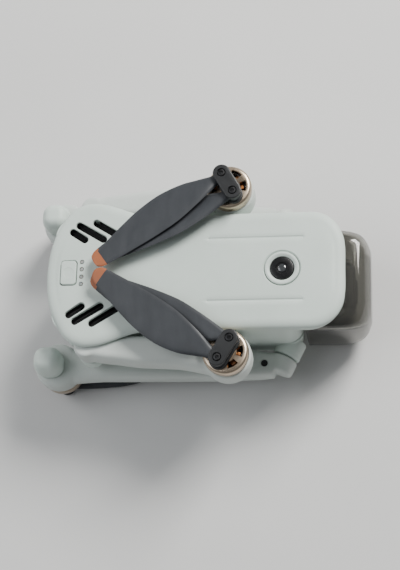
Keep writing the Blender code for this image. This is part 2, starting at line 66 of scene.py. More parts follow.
HULL_HALF = 25.8
BAY_END, BAY_HALF, BAY_TOP, BAY_CORNER = 107.6, 23.9, 46.1, 3.4
REAR_PIVOT = (18.0, -31.5)
REAR_HUB = (79.3, -36.8)
REAR_TOP = 46.5  # motor seat of a rear arm
FRONT_PIVOT = Vector((100.0, -33.0, 17.0))
FRONT_HUB = (0.0, -33.5)
FRONT_LOW = 12.6  # motor seat of a front arm, whose motor hangs
FOLD_SLANT = math.radians(25.0)  # plan angle of the front hinge from straight across
FOLD_AXIS = Vector((-math.sin(FOLD_SLANT), -math.cos(FOLD_SLANT), 0.0))
HINGE_BORE = 1.8
HINGE_PIN = 1.5
REAR_HEADING = 149.5
FRONT_HEADING = 5.0
PIN_OFFSET = 4.8  # from a motor's axis to each blade's pin
BOSS_MID = 8.75  # middle of a blade's root above its motor seat
CAMERA_X = 126.2
CAMERA_Z = 17.0
LENS_Y = -1.0
YAW_X = 118.0
SENSOR_X = 102.5
EYE_SPOT = Vector((126.4, 11.0, 44.2))  # left eye of the nose, where its rim starts
LIGHT_X = 15.8
LIGHT_Y = (4.8, 1.5, -1.9, -5.2)
BELLY_EYES = (("rear", 59.0), ("front", 81.0))
BELLY_LAMP_X = 40.0
BELLY_SCREWS = (("rear", 24), ("front", 90))
BELLY_SCREW_Y = 8.0
VENTS = (((10.9, 18.8), (16.3, 15.2)), ((13.7, 21.8), (24.6, 15.2)), ((21.2, 22.8), (32.6, 15.8)))
VENT_WIDTH = 3.0
FORWARD = (1, 0, 0)


def at(point):
    return Vector(((point[0] - SHIFT_X) * MM, point[1] * MM, point[2] * MM))


# ---- materials
class Shader:
    """A Principled material and short ways to wire its detail."""

    def __init__(self, name, **sockets):
        self.mat = bpy.data.materials.new(name)
        self.mat.use_nodes = True
        self.tree = self.mat.node_tree
        self.bsdf = self.tree.nodes["Principled BSDF"]
        for key, value in sockets.items():
            self.bsdf.inputs[key.replace("_", " ")].default_value = value
        coord = self.tree.nodes.new("ShaderNodeTexCoord")
        self.where = coord.outputs["Object"]

    def link(self, source, target):
        self.tree.links.new(source, target)

    def stretched(self, scale, turn=(0, 0, 0)):
        node = self.tree.nodes.new("ShaderNodeMapping")
        node.inputs["Scale"].default_value = scale
        node.inputs["Rotation"].default_value = turn
        self.link(self.where, node.inputs["Vector"])
        return node.outputs["Vector"]

    def noise(self, scale, detail=2.0, rough=0.5, vector=None):
        node = self.tree.nodes.new("ShaderNodeTexNoise")
        node.inputs["Scale"].default_value = scale
        node.inputs["Detail"].default_value = detail
        node.inputs["Roughness"].default_value = rough
        self.link(vector or self.where, node.inputs["Vector"])
        return node.outputs["Fac"]

    def cells(self, scale, vector=None):
        node = self.tree.nodes.new("ShaderNodeTexVoronoi")
        node.inputs["Scale"].default_value = scale
        self.link(vector or self.where, node.inputs["Vector"])
        return node.outputs["Distance"]

    def ramp(self, fac, stops):
        node = self.tree.nodes.new("ShaderNodeValToRGB")
        band = node.color_ramp
        while len(band.elements) < len(stops):
            band.elements.new(0.5)
        for element, (place, colour) in zip(band.elements, stops):
            element.position = place
            element.color = (*colour, 1.0)
        self.link(fac, node.inputs["Fac"])
        return node.outputs["Color"]

    def spread(self, fac, low, high, start=0.3, stop=0.7):
        node = self.tree.nodes.new("ShaderNodeMapRange")
        node.inputs["From Min"].default_value = start
        node.inputs["From Max"].default_value = stop
        node.inputs["To Min"].default_value = low
        node.inputs["To Max"].default_value = high
        self.link(fac, node.inputs["Value"])
        return node.outputs["Result"]

    def blend(self, fac, a, b, how="MIX"):
        node = self.tree.nodes.new("ShaderNodeMix")
        node.data_type = "RGBA"
        node.blend_type = how
        for value, socket in ((fac, node.inputs[0]), (a, node.inputs[6]), (b, node.inputs[7])):
            if isinstance(value, (int, float)):
                socket.default_value = value
            elif isinstance(value, tuple):
                socket.default_value = (*value, 1.0)
            else:
                self.link(value, socket)
        return node.outputs[2]

    def colour(self, source):
        self.link(source, self.bsdf.inputs["Base Color"])

    def roughness(self, source):
        self.link(source, self.bsdf.inputs["Roughness"])

    def bump(self, height, depth, before=None):
        node = self.tree.nodes.new("ShaderNodeBump")
        node.inputs["Strength"].default_value = 0.6
        node.inputs["Distance"].default_value = depth
        self.link(height, node.inputs["Height"])
        if before is not None:
            self.link(before, node.inputs["Normal"])
        self.link(node.outputs["Normal"], self.bsdf.inputs["Normal"])
        return node.outputs["Normal"]


def moulded(name, tone, shade, rough, grain=0.00005):
    """Spark-eroded moulded plastic: fine grain, faint cloudiness and a little dust."""
    s = Shader(name, IOR=1.5)
    cloud = s.noise(38.0, 4.0, 0.6)
    base = s.ramp(cloud, ((0.30, shade), (0.72, tone)))
    speck = s.ramp(s.noise(5200.0, 2.0, 0.7), ((0.35, (0.90, 0.90, 0.90)), (0.62, (1.0, 1.0, 1.0))))
    base = s.blend(0.55, base, speck, "MULTIPLY")
    dust = s.spread(s.noise(210.0, 6.0, 0.65), 0.0, 0.10, 0.56, 0.78)
    base = s.blend(dust, base, tuple(min(1.0, 1.12 * c) for c in tone))
    s.colour(base)
    s.roughness(s.spread(s.noise(95.0, 5.0, 0.6), rough - 0.06, rough + 0.07))
    first = s.bump(s.noise(3600.0, 3.0, 0.6), grain)
    s.bump(s.cells(2400.0), grain * 0.5, first)
    return s.mat


def blade_plastic(name, tone, shade, rough):
    """Glass-filled nylon: streaks along the flow, rubbed patches, satin skin."""
    s = Shader(name, IOR=1.45, Coat_Weight=0.08, Coat_Roughness=0.35)
    flow = s.noise(140.0, 5.0, 0.6, s.stretched((1.0, 0.22, 1.0), (0, 0, math.radians(60))))
    base = s.ramp(flow, ((0.28, shade), (0.74, tone)))
    rub = s.spread(s.noise(420.0, 5.0, 0.7), 0.0, 0.18, 0.60, 0.80)
    base = s.blend(rub, base, tuple(1.6 * c for c in tone))
    s.colour(base)
    s.roughness(s.spread(s.noise(160.0, 5.0, 0.6), rough - 0.07, rough + 0.08))
    s.bump(s.noise(2600.0, 3.0, 0.6), 0.00004)
    return s.mat


def metal(name, tone, shade, rough, stretch=(1.0, 1.0, 60.0)):
    """Turned or drawn metal: fine lines, with stains in the darker tone."""
    s = Shader(name, Metallic=1.0, Anisotropic=0.35)
    lines = s.noise(120.0, 4.0, 0.6, s.stretched(stretch))
    base = s.ramp(lines, ((0.30, shade), (0.70, tone)))
    stain = s.spread(s.noise(300.0, 5.0, 0.6), 0.0, 0.35, 0.52, 0.75)
    s.colour(s.blend(stain, base, shade))
    s.roughness(s.spread(lines, rough - 0.07, rough + 0.10))
    s.bump(lines, 0.00003)
    return s.mat


def copper_wire(name):
    """Enamelled wire wound in close turns."""
    s = Shader(name, Metallic=0.9, Coat_Weight=0.6, Coat_Roughness=0.12)
    turns = s.noise(900.0, 1.0, 0.4, s.stretched((1.0, 1.0, 6.0)))
    s.colour(s.ramp(turns, ((0.35, (0.20, 0.060, 0.020)), (0.65, (0.62, 0.27, 0.10)))))
    s.roughness(s.spread(turns, 0.26, 0.42))
    s.bump(turns, 0.00012)
    return s.mat


def lens_glass(name, tone):
    """Coated dark glass with faint smears."""
    s = Shader(name, IOR=1.6, Coat_Weight=1.0, Coat_Roughness=0.03)
    s.colour(s.ramp(s.noise(260.0, 3.0, 0.5), ((0.3, tone), (0.75, tuple(2.2 * c for c in tone)))))
    s.roughness(s.spread(s.noise(700.0, 4.0, 0.6), 0.05, 0.13, 0.4, 0.8))
    s.bump(s.noise(900.0, 2.0, 0.5), 0.000004)
    return s.mat


def smoked(name):
    """Clear plastic tinted grey, with handling marks in its gloss."""
    s = Shader(name, IOR=1.49, Transmission_Weight=0.90)
    haze = s.noise(45.0, 3.0, 0.5)
    s.colour(s.ramp(haze, ((0.3, (0.28, 0.276, 0.252)), (0.75, (0.34, 0.335, 0.308)))))
    s.roughness(s.spread(s.noise(260.0, 6.0, 0.7), 0.05, 0.16, 0.45, 0.8))
    s.bump(s.noise(120.0, 3.0, 0.5), 0.00001)
    return s.mat


def diffuser(name, tone):
    """Milky lens of a lamp, with moulded facets."""
    s = Shader(name, IOR=1.5, Subsurface_Weight=0.25, Subsurface_Scale=0.001)
    s.colour(s.ramp(s.cells(1500.0), ((0.1, tone), (0.8, tuple(0.86 * c for c in tone)))))
    s.roughness(s.spread(s.noise(800.0, 3.0, 0.5), 0.22, 0.34))
    s.bump(s.cells(1500.0), 0.00006)
    return s.mat


def circuit(name):
    """Coated board: green laminate, tinned pads and dark components in cells."""
    s = Shader(name, IOR=1.5, Coat_Weight=0.4, Coat_Roughness=0.2)
    blocks = s.cells(190.0, s.stretched((1.0, 1.6, 1.0)))
    s.colour(s.ramp(blocks, ((0.10, (0.10, 0.10, 0.11)), (0.22, (0.012, 0.060, 0.030)),
                             (0.55, (0.018, 0.095, 0.045)), (0.80, (0.42, 0.36, 0.20)))))
    s.roughness(s.spread(s.noise(500.0, 3.0, 0.6), 0.32, 0.5))
    s.bump(blocks, 0.0002)
    return s.mat


SHELL = moulded("shell_grey", (0.618, 0.702, 0.655), (0.568, 0.646, 0.602), 0.50)
ARM = moulded("arm_grey", (0.606, 0.652, 0.622), (0.551, 0.594, 0.566), 0.50)
CAP = moulded("battery_grey", (0.520, 0.540, 0.530), (0.460, 0.480, 0.470), 0.48)
BLACK = moulded("black_plastic", (0.030, 0.031, 0.033), (0.018, 0.019, 0.021), 0.5)
# Near-black used as painted shade: on the battery bay's walls and roof, the vent and belly slots' walls and
# the motor cups' floors; on the vent grilles it darkens their own black further into painted shade
PAINTED_SHADE_BLACK = moulded("painted_shade_black", (0.012, 0.012, 0.013), (0.006, 0.006, 0.007), 0.7)
GREY_SOFT = moulded("soft_grey", (0.270, 0.280, 0.278), (0.225, 0.235, 0.233), 0.78, 0.0001)
BLADE = blade_plastic("blade_grey", (0.040, 0.044, 0.051), (0.026, 0.029, 0.034), 0.50)
TIP = blade_plastic("blade_tip_orange", (0.370, 0.120, 0.048), (0.305, 0.095, 0.039), 0.50)
MOTOR = metal("motor_metal", (0.62, 0.52, 0.40), (0.42, 0.33, 0.25), 0.30)
HUB = moulded("hub_black", (0.016, 0.017, 0.019), (0.010, 0.011, 0.012), 0.42)
STEEL = metal("pin_steel", (0.66, 0.66, 0.67), (0.46, 0.46, 0.48), 0.26)
SINK = metal("sink_metal", (0.70, 0.71, 0.72), (0.56, 0.57, 0.59), 0.36, (60.0, 1.0, 1.0))
SCREW = metal("screw_black", (0.060, 0.060, 0.062), (0.030, 0.030, 0.032), 0.34)
WIRE = copper_wire("winding_copper")
CORE = metal("stator_core", (0.24, 0.24, 0.25), (0.14, 0.14, 0.15), 0.42, (1.0, 1.0, 160.0))
LENS = lens_glass("lens_black", (0.006, 0.007, 0.010))
IRIS = lens_glass("lens_iris", (0.022, 0.024, 0.026))
DOME = moulded("sensor_window", (0.005, 0.006, 0.006), (0.003, 0.003, 0.004), 0.30)
SMOKE = smoked("smoked_guard")
LAMP = diffuser("lamp_white", (0.74, 0.73, 0.68))
DOT = diffuser("light_dot", (0.34, 0.35, 0.34))
BOARD = circuit("board_green")


# ---- mesh helpers
def to_object(bm, name, mat, angle=35.0):
    bmesh.ops.remove_doubles(bm, verts=bm.verts, dist=WELD)
    bmesh.ops.recalc_face_normals(bm, faces=bm.faces)
    mesh = bpy.data.meshes.new(name)
    bm.to_mesh(mesh)
    bm.free()
    obj = bpy.data.objects.new(name, mesh)
    bpy.context.scene.collection.objects.link(obj)
    if mat is not None:
        obj.data.materials.append(mat)
    soften(obj, angle)
    return obj


def soften(obj, angle=35.0):
    for poly in obj.data.polygons:
        poly.use_smooth = True
    obj.data.set_sharp_from_angle(angle=math.radians(angle))


def bridge(bm, low, high):
    """Band of quads between two rings of as many points each."""
    for i, start in enumerate(low):
        j = (i + 1) % len(low)
        bm.faces.new((start, low[j], high[j], high[i]))


def loft(name, rings, mat=None, angle=35.0):
    """Closed skin through rings of as many points each."""
    bm = bmesh.new()
    rows = [[bm.verts.new(at(p)) for p in ring] for ring in rings]
    for low, high in zip(rows, rows[1:]):
        bridge(bm, low, high)
    bm.faces.new(rows[0])
    bm.faces.new(rows[-1])
    return to_object(bm, name, mat, angle)


def lathe(name, profile, base, axis=(0, 0, 1), mat=None, segments=64):
    """Turn a profile of (radius, height) about an axis through base; off the axis it makes a ring."""
    bm = bmesh.new()
    turn = Vector((0, 0, 1)).rotation_difference(Vector(axis)).to_matrix()
    rows = []
    for radius, height in profile:
        row = []
        for k in range(segments if radius > 0 else 1):
            a = 2 * math.pi * k / segments
            spot = turn @ Vector((radius * math.cos(a), radius * math.sin(a), height))
            row.append(bm.verts.new(at(Vector(base) + spot)))
        rows.append(row)
    pairs = list(zip(rows, rows[1:]))
    if profile[0][0] > 0:
        pairs.append((rows[-1], rows[0]))
    for low, high in pairs:
        for k in range(segments):
            n = (k + 1) % segments
            if len(low) == 1:
                bm.faces.new((low[0], high[k], high[n]))
            elif len(high) == 1:
                bm.faces.new((low[k], low[n], high[0]))
            else:
                bm.faces.new((low[k], low[n], high[n], high[k]))
    return to_object(bm, name, mat)


def rod(name, base, radius, length, axis=(0, 0, 1), mat=None, segments=40, edge=0.0):
    """Round bar from base along axis, its rims rounded by edge."""
    profile = [(0, 0), (radius, 0), (radius, length), (0, length)]
    if edge > 0:
        low = [(radius - edge + edge * math.sin(a), edge - edge * math.cos(a))
               for a in (0, math.pi / 6, math.pi / 3, math.pi / 2)]
        high = [(r, length - h) for r, h in reversed(low)]
        profile = [(0, 0)] + low + high + [(0, length)]
    return lathe(name, profile, base, axis, mat, segments)


def arc(cx, cy, radius, start, sweep, steps):
    """Points along part of a circle, with its angles in degrees."""
    angles = [math.radians(start + sweep * k / steps) for k in range(steps + 1)]
    return [(cx + radius * math.cos(a), cy + radius * math.sin(a)) for a in angles]


def rounded(x0, x1, half, corner, steps=8, centre_y=0.0):
    """Plan of a rectangle with round corners, half being half its width."""
    points = []
    hubs = ((x1 - corner, half - corner, 0), (x0 + corner, half - corner, 90),
            (x0 + corner, corner - half, 180), (x1 - corner, corner - half, 270))
    for cx, cy, start in hubs:
        points += arc(cx, centre_y + cy, corner, start, 90, steps)
    return points


def raised(outline, z):
    """A plan outline as a ring at one height."""
    return [(x, y, z) for x, y in outline]


def inset_ring(outline, inset, z):
    """Move a plan outline inwards along its own normals."""
    out = []
    n = len(outline)
    for i, (x, y) in enumerate(outline):
        px, py = outline[i - 1]
        qx, qy = outline[(i + 1) % n]
        tx, ty = qx - px, qy - py
        size = math.hypot(tx, ty) or 1.0
        out.append((x - ty / size * inset, y + tx / size * inset, z))
    return out


def fillet(z0, z1, r0, r1, steps):
    """Heights and insets of a slab whose lower and upper rims are rounded."""
    angles = [math.pi / 2 * k / steps for k in range(steps + 1)]
    rows = [(z0 + r0 - r0 * math.cos(a), r0 - r0 * math.sin(a)) for a in angles]
    return rows + [(z1 - r1 + r1 * math.sin(a), r1 - r1 * math.cos(a)) for a in angles]


def slab(name, outline, z0, z1, low=0.0, high=0.0, mat=None, steps=4):
    """Prism over a counter-clockwise outline, with rounded rims."""
    area = sum(outline[i - 1][0] * p[1] - p[0] * outline[i - 1][1] for i, p in enumerate(outline))
    if area < 0:
        outline = list(reversed(outline))
    if low <= 0 and high <= 0:
        rows = [(z0, 0.0), (z1, 0.0)]
    else:
        rows = fillet(z0, z1, max(low, 0.001), max(high, 0.001), steps)
    return loft(name, [inset_ring(outline, i, z) for z, i in rows], mat)


def block(name, lo, hi, edge=0.0, mat=None, segments=3):
    """Box between two corners, its edges rounded by edge."""
    bm = bmesh.new()
    bmesh.ops.create_cube(bm, size=1.0)
    for v in bm.verts:
        v.co = at([lo[i] if v.co[i] < 0 else hi[i] for i in range(3)])
    if edge > 0:
        bmesh.ops.bevel(bm, geom=bm.edges[:], offset=edge * MM, segments=segments,
                        profile=0.5, affect="EDGES")
    return to_object(bm, name, mat)


def weld(mesh):
    """Join the split points and drop the slivers that a Boolean leaves."""
    bm = bmesh.new()
    bm.from_mesh(mesh)
    bmesh.ops.remove_doubles(bm, verts=bm.verts, dist=WELD)
    bmesh.ops.dissolve_degenerate(bm, edges=bm.edges, dist=WELD)
    bm.to_mesh(mesh)
    bm.free()


def combine(base, tools, how):
    for tool in tools:
        mod = base.modifiers.new("shape", "BOOLEAN")
        mod.operation = how
        mod.solver = "EXACT"
        mod.object = tool
    graph = bpy.context.evaluated_depsgraph_get()
    made = bpy.data.meshes.new_from_object(base.evaluated_get(graph))
    weld(made)
    base.modifiers.clear()
    base.data = made
    for tool in tools:
        bpy.data.objects.remove(tool, do_unlink=True)
    soften(base)
    return base


def add(base, *tools):
    return combine(base, tools, "UNION")


def cut(base, *tools):
    return combine(base, tools, "DIFFERENCE")


def melt(obj):
    """Fuse overlapping shapes into one skin with soft blends, as in a moulding."""
    mod = obj.modifiers.new("fuse", "REMESH")
    mod.mode = "VOXEL"
    mod.voxel_size = MELT_VOXEL * MM
    mod = obj.modifiers.new("ease", "CORRECTIVE_SMOOTH")
    mod.iterations = MELT_ROUNDS
    mod.factor = 0.6
    mod.smooth_type = "SIMPLE"
    mod.use_only_smooth = True
    obj.modifiers.new("flat", "TRIANGULATE")
    graph = bpy.context.evaluated_depsgraph_get()
    obj.data = bpy.data.meshes.new_from_object(obj.evaluated_get(graph))
    obj.modifiers.clear()
    soften(obj, 60.0)


def tint(obj, mat, test):
    """Give mat to the faces whose centre, in tail millimetres, passes the test."""
    obj.data.materials.append(mat)
    last = len(obj.data.materials) - 1
    for poly in obj.data.polygons:
        c = poly.center
        if test(c.x / MM + SHIFT_X, c.y / MM, c.z / MM, poly.normal):
            poly.material_index = last


def dress(obj, mat):
    obj.data.materials.clear()
    obj.data.materials.append(mat)
    for poly in obj.data.polygons:
        poly.material_index = 0
    return obj


def twin(obj, name):
    """Mirror a right-hand piece across the centre plane."""
    made = bpy.data.objects.new(name, obj.data.copy())
    bpy.context.scene.collection.objects.link(made)
    made.data.transform(Matrix.Diagonal((1, -1, 1, 1)))
    made.data.flip_normals()
    return made


def fit(obj, body, slot, *nodes):
    """Place a piece on its body and hide the CAD nodes that it stands for; slot is not used."""
    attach(obj, body)
    if nodes:
        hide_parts(*nodes)


def fit_pair(obj, stem, body, slot, *nodes):
    """Place a right-hand piece and its mirror image; {} stands for the side."""
    obj.name = stem + "_right"
    other = twin(obj, stem + "_left")
    for piece, side in ((obj, "right"), (other, "left")):
        fit(piece, body.format(side), slot, *[n.format(side) for n in nodes])


def screw(name, spot, axis, radius):
    """Pan-head screw with a six-lobed socket."""
    head = [(0, -0.5), (radius, -0.5), (radius, 0.0), (0.85 * radius, 0.28), (0.5 * radius, 0.4),
            (0, 0.42)]
    obj = lathe(name, head, spot, axis, SCREW, 32)
    turn = Vector((0, 0, 1)).rotation_difference(Vector(axis)).to_matrix()
    reach = 0.3 * radius
    for k in range(6):
        a = math.pi * k / 3
        off = turn @ Vector((reach * math.cos(a), reach * math.sin(a), 0.05))
        cut(obj, rod("tool", Vector(spot) + off, 0.16 * radius, 2.0, axis, None, 12))
    return cut(obj, rod("tool", Vector(spot) + turn @ Vector((0, 0, 0.05)), reach, 2.0, axis, None, 18))


def spline(points, count):
    """Even Catmull-Rom samples through plan points."""
    pts = [Vector(p) for p in points]
    pts = [2 * pts[0] - pts[1]] + pts + [2 * pts[-1] - pts[-2]]
    out = []
    spans = len(pts) - 3
    for k in range(count):
        t = k / (count - 1) * spans
        i = min(int(t), spans - 1)
        u = t - i
        a, b, c, d = pts[i:i + 4]
        out.append(0.5 * (2 * b + (c - a) * u + (2 * a - 5 * b + 4 * c - d) * u * u
                          + (3 * b - a - 3 * c + d) * u ** 3))
    return out


# ---- hull
DECK_HALF = ((0.0, 0.0), (0.3, 6.0), (1.2, 12.0), (3.0, 18.0), (5.6, 23.5), (8.6, 28.0),
             (12.0, 30.8), (16.0, 32.3), (20.0, 32.6), (25.0, 31.9), (30.0, 30.3),
             (35.0, 28.5), (40.0, 27.0), (46.0, 26.2), (54.0, 26.0), (72.0, 26.0), (90.0, 26.0),
             (112.0, 26.0), (117.5, 25.6), (122.0, 23.6), (125.8, 19.8), (128.2, 14.5),
             (129.0, 9.0), (129.0, 0.0))


def deck_outline():
    near = [(x, -y) for x, y in reversed(DECK_HALF)]
    loop = spline(near[:-1] + list(DECK_HALF), 180)
    return [(p.x, p.y) for p in loop[:-1]]


def deck():
    """Deck slab with a long soft shoulder and a slightly crowned top."""
    outline = deck_outline()
    rows = [(46.2, 1.0), (46.45, 0.35), (46.9, 0.0)]
    for k in range(1, 9):
        a = math.pi / 2 * k / 8
        rows.append((46.9 + 2.15 * math.sin(a), 4.6 * (1 - math.cos(a))))
    rings = [inset_ring(outline, -inset, z) for z, inset in rows]
    last = rings[-1]
    for k in range(1, 9):
        t = k / 8.6
        rings.append([(x + (64.0 - x) * 0.32 * t * t, y * (1 - t),
                       49.05 + 0.72 * (1 - (1 - t) ** 2)) for x, y, _ in last])
    return loft("hull_top", rings)


def slot_tool(start, end, width, rows):
    """Cutter for a slot with round ends; rows are (height, how much further out)."""
    a, b = Vector(start), Vector(end)
    run = (b - a).normalized()
    rings = []
    for z, extra in rows:
        ring = []
        for centre, base in ((b, -90), (a, 90)):
            for k in range(9):
                t = math.radians(base + 22.5 * k)
                side = Vector((math.cos(t) * run.x - math.sin(t) * run.y,
                               math.cos(t) * run.y + math.sin(t) * run.x))
                spot = centre + side * (width / 2 + extra)
                ring.append((spot.x, spot.y, z))
        rings.append(ring)
    return loft("tool", rings)


def nose_outline(x0, x1, half):
    """Plan of the nose: broad corners in front, square ones inside the walls."""
    corner = 15.5
    left = arc(x1 - corner, half - corner, corner, 0, 90, 12)
    right = arc(x1 - corner, corner - half, corner, 270, 90, 12)
    return left + [(x0, half), (x0, -half)] + right


def in_vent(x, y):
    """Whether a point of the deck's plan lies in one of the cooling slots."""
    spot = Vector((x, abs(y)))
    for start, end in VENTS:
        a, run = Vector(start), Vector(end) - Vector(start)
        along = min(1.0, max(0.0, (spot - a).dot(run) / run.length_squared))
        if (spot - a - run * along).length < VENT_WIDTH / 2 + 0.1:
            return True
    return False


def in_bay(x, y, z):
    """Whether a point lies on the walls or the roof of the battery bay."""
    skin = 0.05
    past_x = max(0.0, x - (BAY_END - BAY_CORNER))
    past_y = max(0.0, abs(y) - (BAY_HALF - BAY_CORNER))
    return (z < BAY_TOP + skin and abs(y) < BAY_HALF + skin and x < BAY_END + skin
            and math.hypot(past_x, past_y) < BAY_CORNER + skin)


def hull_top():
    """Upper shell: deck, walls, nose and hinge lugs around the battery bay."""
    wall_rows = ((4.3, 24.0), (4.0, 24.35), (3.4, 32.0), (3.0, 40.0), (3.0, 47.3))
    walls = loft("walls", [raised(rounded(x0, 110, HULL_HALF, 8), z) for x0, z in wall_rows])
    nose_rows = ((37.8, 104.0, 121.5, 18.0), (38.2, 104.0, 124.0, 20.6), (39.2, 103.5, 126.2, 23.0),
                 (40.6, 102.0, 127.6, 24.6), (42.4, 101.0, 128.3, 25.4), (44.6, 101.0, 128.7, HULL_HALF),
                 (47.4, 101.0, 128.8, HULL_HALF))
    nose = loft("nose", [raised(nose_outline(x0, x1, half), z) for z, x0, x1, half in nose_rows])
    hull = add(deck(), walls, nose)
    px, py = REAR_PIVOT
    for side in (-1, 1):
        y = py * -side
        add(hull, rod("lug", (px, y, 27.6), 5.3, 6.3, edge=0.9))
        inner, outer = sorted((y, side * 24.6))
        add(hull, block("web", (px - 4.4, inner, 28.4), (px + 4.4, outer, 33.4), 0.8))
    cut(hull, slab("tool", rounded(-6, BAY_END, BAY_HALF, BAY_CORNER), 20, BAY_TOP))
    vent_rows = ((40, 0), (48.6, 0), (49.3, 0.25), (51, 1.3))
    seam_rows = ((49.16, 0), (49.32, 0.2), (49.6, 0.9), (50.4, 3.2))
    for side in (-1, 1):
        cut(hull, rod("tool", (px, py * -side, 20), HINGE_BORE, 18.0, segments=32))
        for (x0, y0), (x1, y1) in VENTS:
            cut(hull, slot_tool((x0, y0 * side), (x1, y1 * side), VENT_WIDTH, vent_rows))
        cut(hull, slot_tool((71, 14.0 * side), (111, 14.0 * side), 0.5, seam_rows))
        cut(hull, rod("tool", (EYE_SPOT.x - 0.2, EYE_SPOT.y * side, EYE_SPOT.z), 2.9, 8, FORWARD))
    key = rounded(6.3, 13.7, 5.7, 1.6)
    cut(hull, loft("tool", [inset_ring(key, -i, z) for z, i in ((40, 0), (49.2, 0), (51, 0.9))]))
    cut(hull, lathe("tool", [(0, 47.6), (7.7, 47.6), (7.7, 49.2), (9.4, 51.0), (0, 51.0)],
                    (SENSOR_X, 0, 0), segments=72))
    cut(hull, block("tool", (LIGHT_X - 1.1, -6.7, 40), (LIGHT_X + 1.1, 6.3, 48.2)))
    for y in LIGHT_Y:
        cut(hull, rod("tool", (LIGHT_X, y, 47), 1.0, 8, segments=24))
    dress(hull, SHELL)
    # painted shade: the battery bay's walls and roof get the near-black
    tint(hull, PAINTED_SHADE_BLACK, lambda x, y, z, n: in_bay(x, y, z))
    # painted shade: the upright walls of the cooling slots get the near-black
    tint(hull, PAINTED_SHADE_BLACK, lambda x, y, z, n: 46.0 < z < 48.5 and abs(n.z) < 0.3 and in_vent(x, y))
    fit(hull, "airframe", "shell_grey", "upper_shell")


def hull_bottom():
    """Lower shell: a hollow tray on a narrower belly, with the front arms' brackets."""
    outer = ((0.0, 18.0, 92.0, 11.6, 6.0), (0.35, 16.6, 93.4, 12.7, 7.0), (1.2, 15.0, 95.0, 13.6, 8.0),
             (4.5, 13.4, 96.6, 14.6, 8.0), (7.4, 12.0, 98.0, 15.5, 8.0), (8.6, 11.0, 99.2, 16.4, 8.0),
             (9.4, 9.4, 101.2, 18.2, 8.0), (10.0, 7.4, 103.8, 21.0, 7.6), (10.6, 5.8, 106.6, 23.9, 7.0),
             (11.4, 4.5, 108.2, 25.1, 6.6), (12.6, 4.0, 108.9, 25.5, 6.2),
             (20.0, 4.0, 109.5, HULL_HALF, 6.0), (23.4, 4.0, 109.9, HULL_HALF, 6.0),
             (23.7, 4.3, 109.6, 25.5, 6.0))
    hull = loft("hull_bottom", [raised(rounded(x0, x1, half, corner, 10), z)
                                for z, x0, x1, half, corner in outer])
    for side in (-1, 1):
        axis = Vector((FOLD_AXIS.x, FOLD_AXIS.y * -side, 0))
        hub = Vector((FRONT_PIVOT.x, FRONT_PIVOT.y * -side, FRONT_PIVOT.z))
        add(hull, rod("bracket", hub - axis * 3.3, 6.0, 8.5, -axis, edge=0.9))
        cut(hull, rod("tool", hub, HINGE_BORE, 10.5, -axis))
    inner = ((2.6, 20.0, 88.0, 11.4, 5.0), (8.4, 14.0, 96.0, 13.8, 5.0), (11.8, 8.0, 104.6, 19.8, 5.0),
             (13.4, 8.0, 105.0, 21.6, 5.0), (26.0, 7.0, 106.0, 22.6, 5.0))
    cut(hull, loft("tool", [raised(rounded(x0, x1, half, corner), z) for z, x0, x1, half, corner in inner]))
    panel = rounded(52, 88, 9.3, 3.0)
    cut(hull, loft("tool", [inset_ring(panel, i, z) for z, i in ((-3, -2.2), (0.3, 0), (1.9, 0))]))
    lamp_seat = [(0, -1), (5.6, -1), (4.1, 0.5), (4.1, 1.9), (0, 1.9)]
    cut(hull, lathe("tool", lamp_seat, (BELLY_LAMP_X, 0, 0)))
    for _, x in BELLY_SCREWS:
        for _, side in SIDES:
            cut(hull, rod("tool", (x, BELLY_SCREW_Y * side, -1), 1.9, 2.0))
    for k in range(4):
        x = 26.4 + 2.2 * k
        cut(hull, slot_tool((x, -5.0), (x, 5.0), 1.1, ((-1, 0.5), (0.25, 0), (1.1, 0))))
    dress(hull, SHELL)
    # painted shade: the walls of the belly slots get the near-black
    tint(hull, PAINTED_SHADE_BLACK, lambda x, y, z, n: 0.5 < z < 1.3 and 25 < x < 34 and abs(y) < 6)
    fit(hull, "airframe", "shell_grey", "lower_shell")
    for end, x in BELLY_SCREWS:
        for tag, side in SIDES:
            head = screw(f"belly_screw_{end}_{tag}", (x, BELLY_SCREW_Y * side, 0.75), (0, 0, -1), 1.6)
            fit(head, "airframe", "black_plastic")


def deck_parts():
    """Ring and window of the upper sensor, power key and light bar."""
    ring = [(5.3, 47.9), (7.4, 47.9), (7.4, 49.55), (7.2, 49.85), (6.7, 50.0), (6.2, 49.9),
            (5.9, 49.65), (5.55, 49.55), (5.3, 49.3)]
    fit(lathe("sensor_ring", ring, (SENSOR_X, 0, 0), mat=SHELL, segments=96), "airframe",
        "shell_grey", "top_sensor_bezel")
    dome = [(0, 47.9), (5.0, 47.9), (5.0, 49.45), (4.85, 49.7), (4.5, 49.8), (2.6, 49.8), (2.45, 49.55),
            (1.9, 49.5), (1.7, 49.7), (1.2, 49.85), (0.6, 49.93), (0, 49.95)]
    eye = lathe("sensor_dome", dome, (SENSOR_X, 0, 0), mat=DOME, segments=96)
    tint(eye, IRIS, lambda x, y, z, n: math.hypot(x - SENSOR_X, y) < 1.75 and z > 49.52)
    fit(eye, "airframe", "lens_black", "top_sensor_lens")
    key = slab("power_key", rounded(6.6, 13.4, 5.4, 1.4), 46.7, 50.0, 0.2, 0.45, SHELL, 6)
    cut(key, lathe("tool", [(0, 49.86), (2.2, 49.92), (2.75, 50.4), (0, 50.4)], (10, 0, 0)))
    fit(dress(key, SHELL), "power_key", "shell_grey", "power_button")
    strip = block("light_bar", (LIGHT_X - 0.8, -6.4, 46.5), (LIGHT_X + 0.8, 6.0, 48.1), 0.15)
    add(strip, *[rod("dot", (LIGHT_X, y, 47.6), 0.72, 2.05, segments=24, edge=0.12) for y in LIGHT_Y])
    fit(dress(strip, DOT), "airframe", "lamp_white", "led_strip")


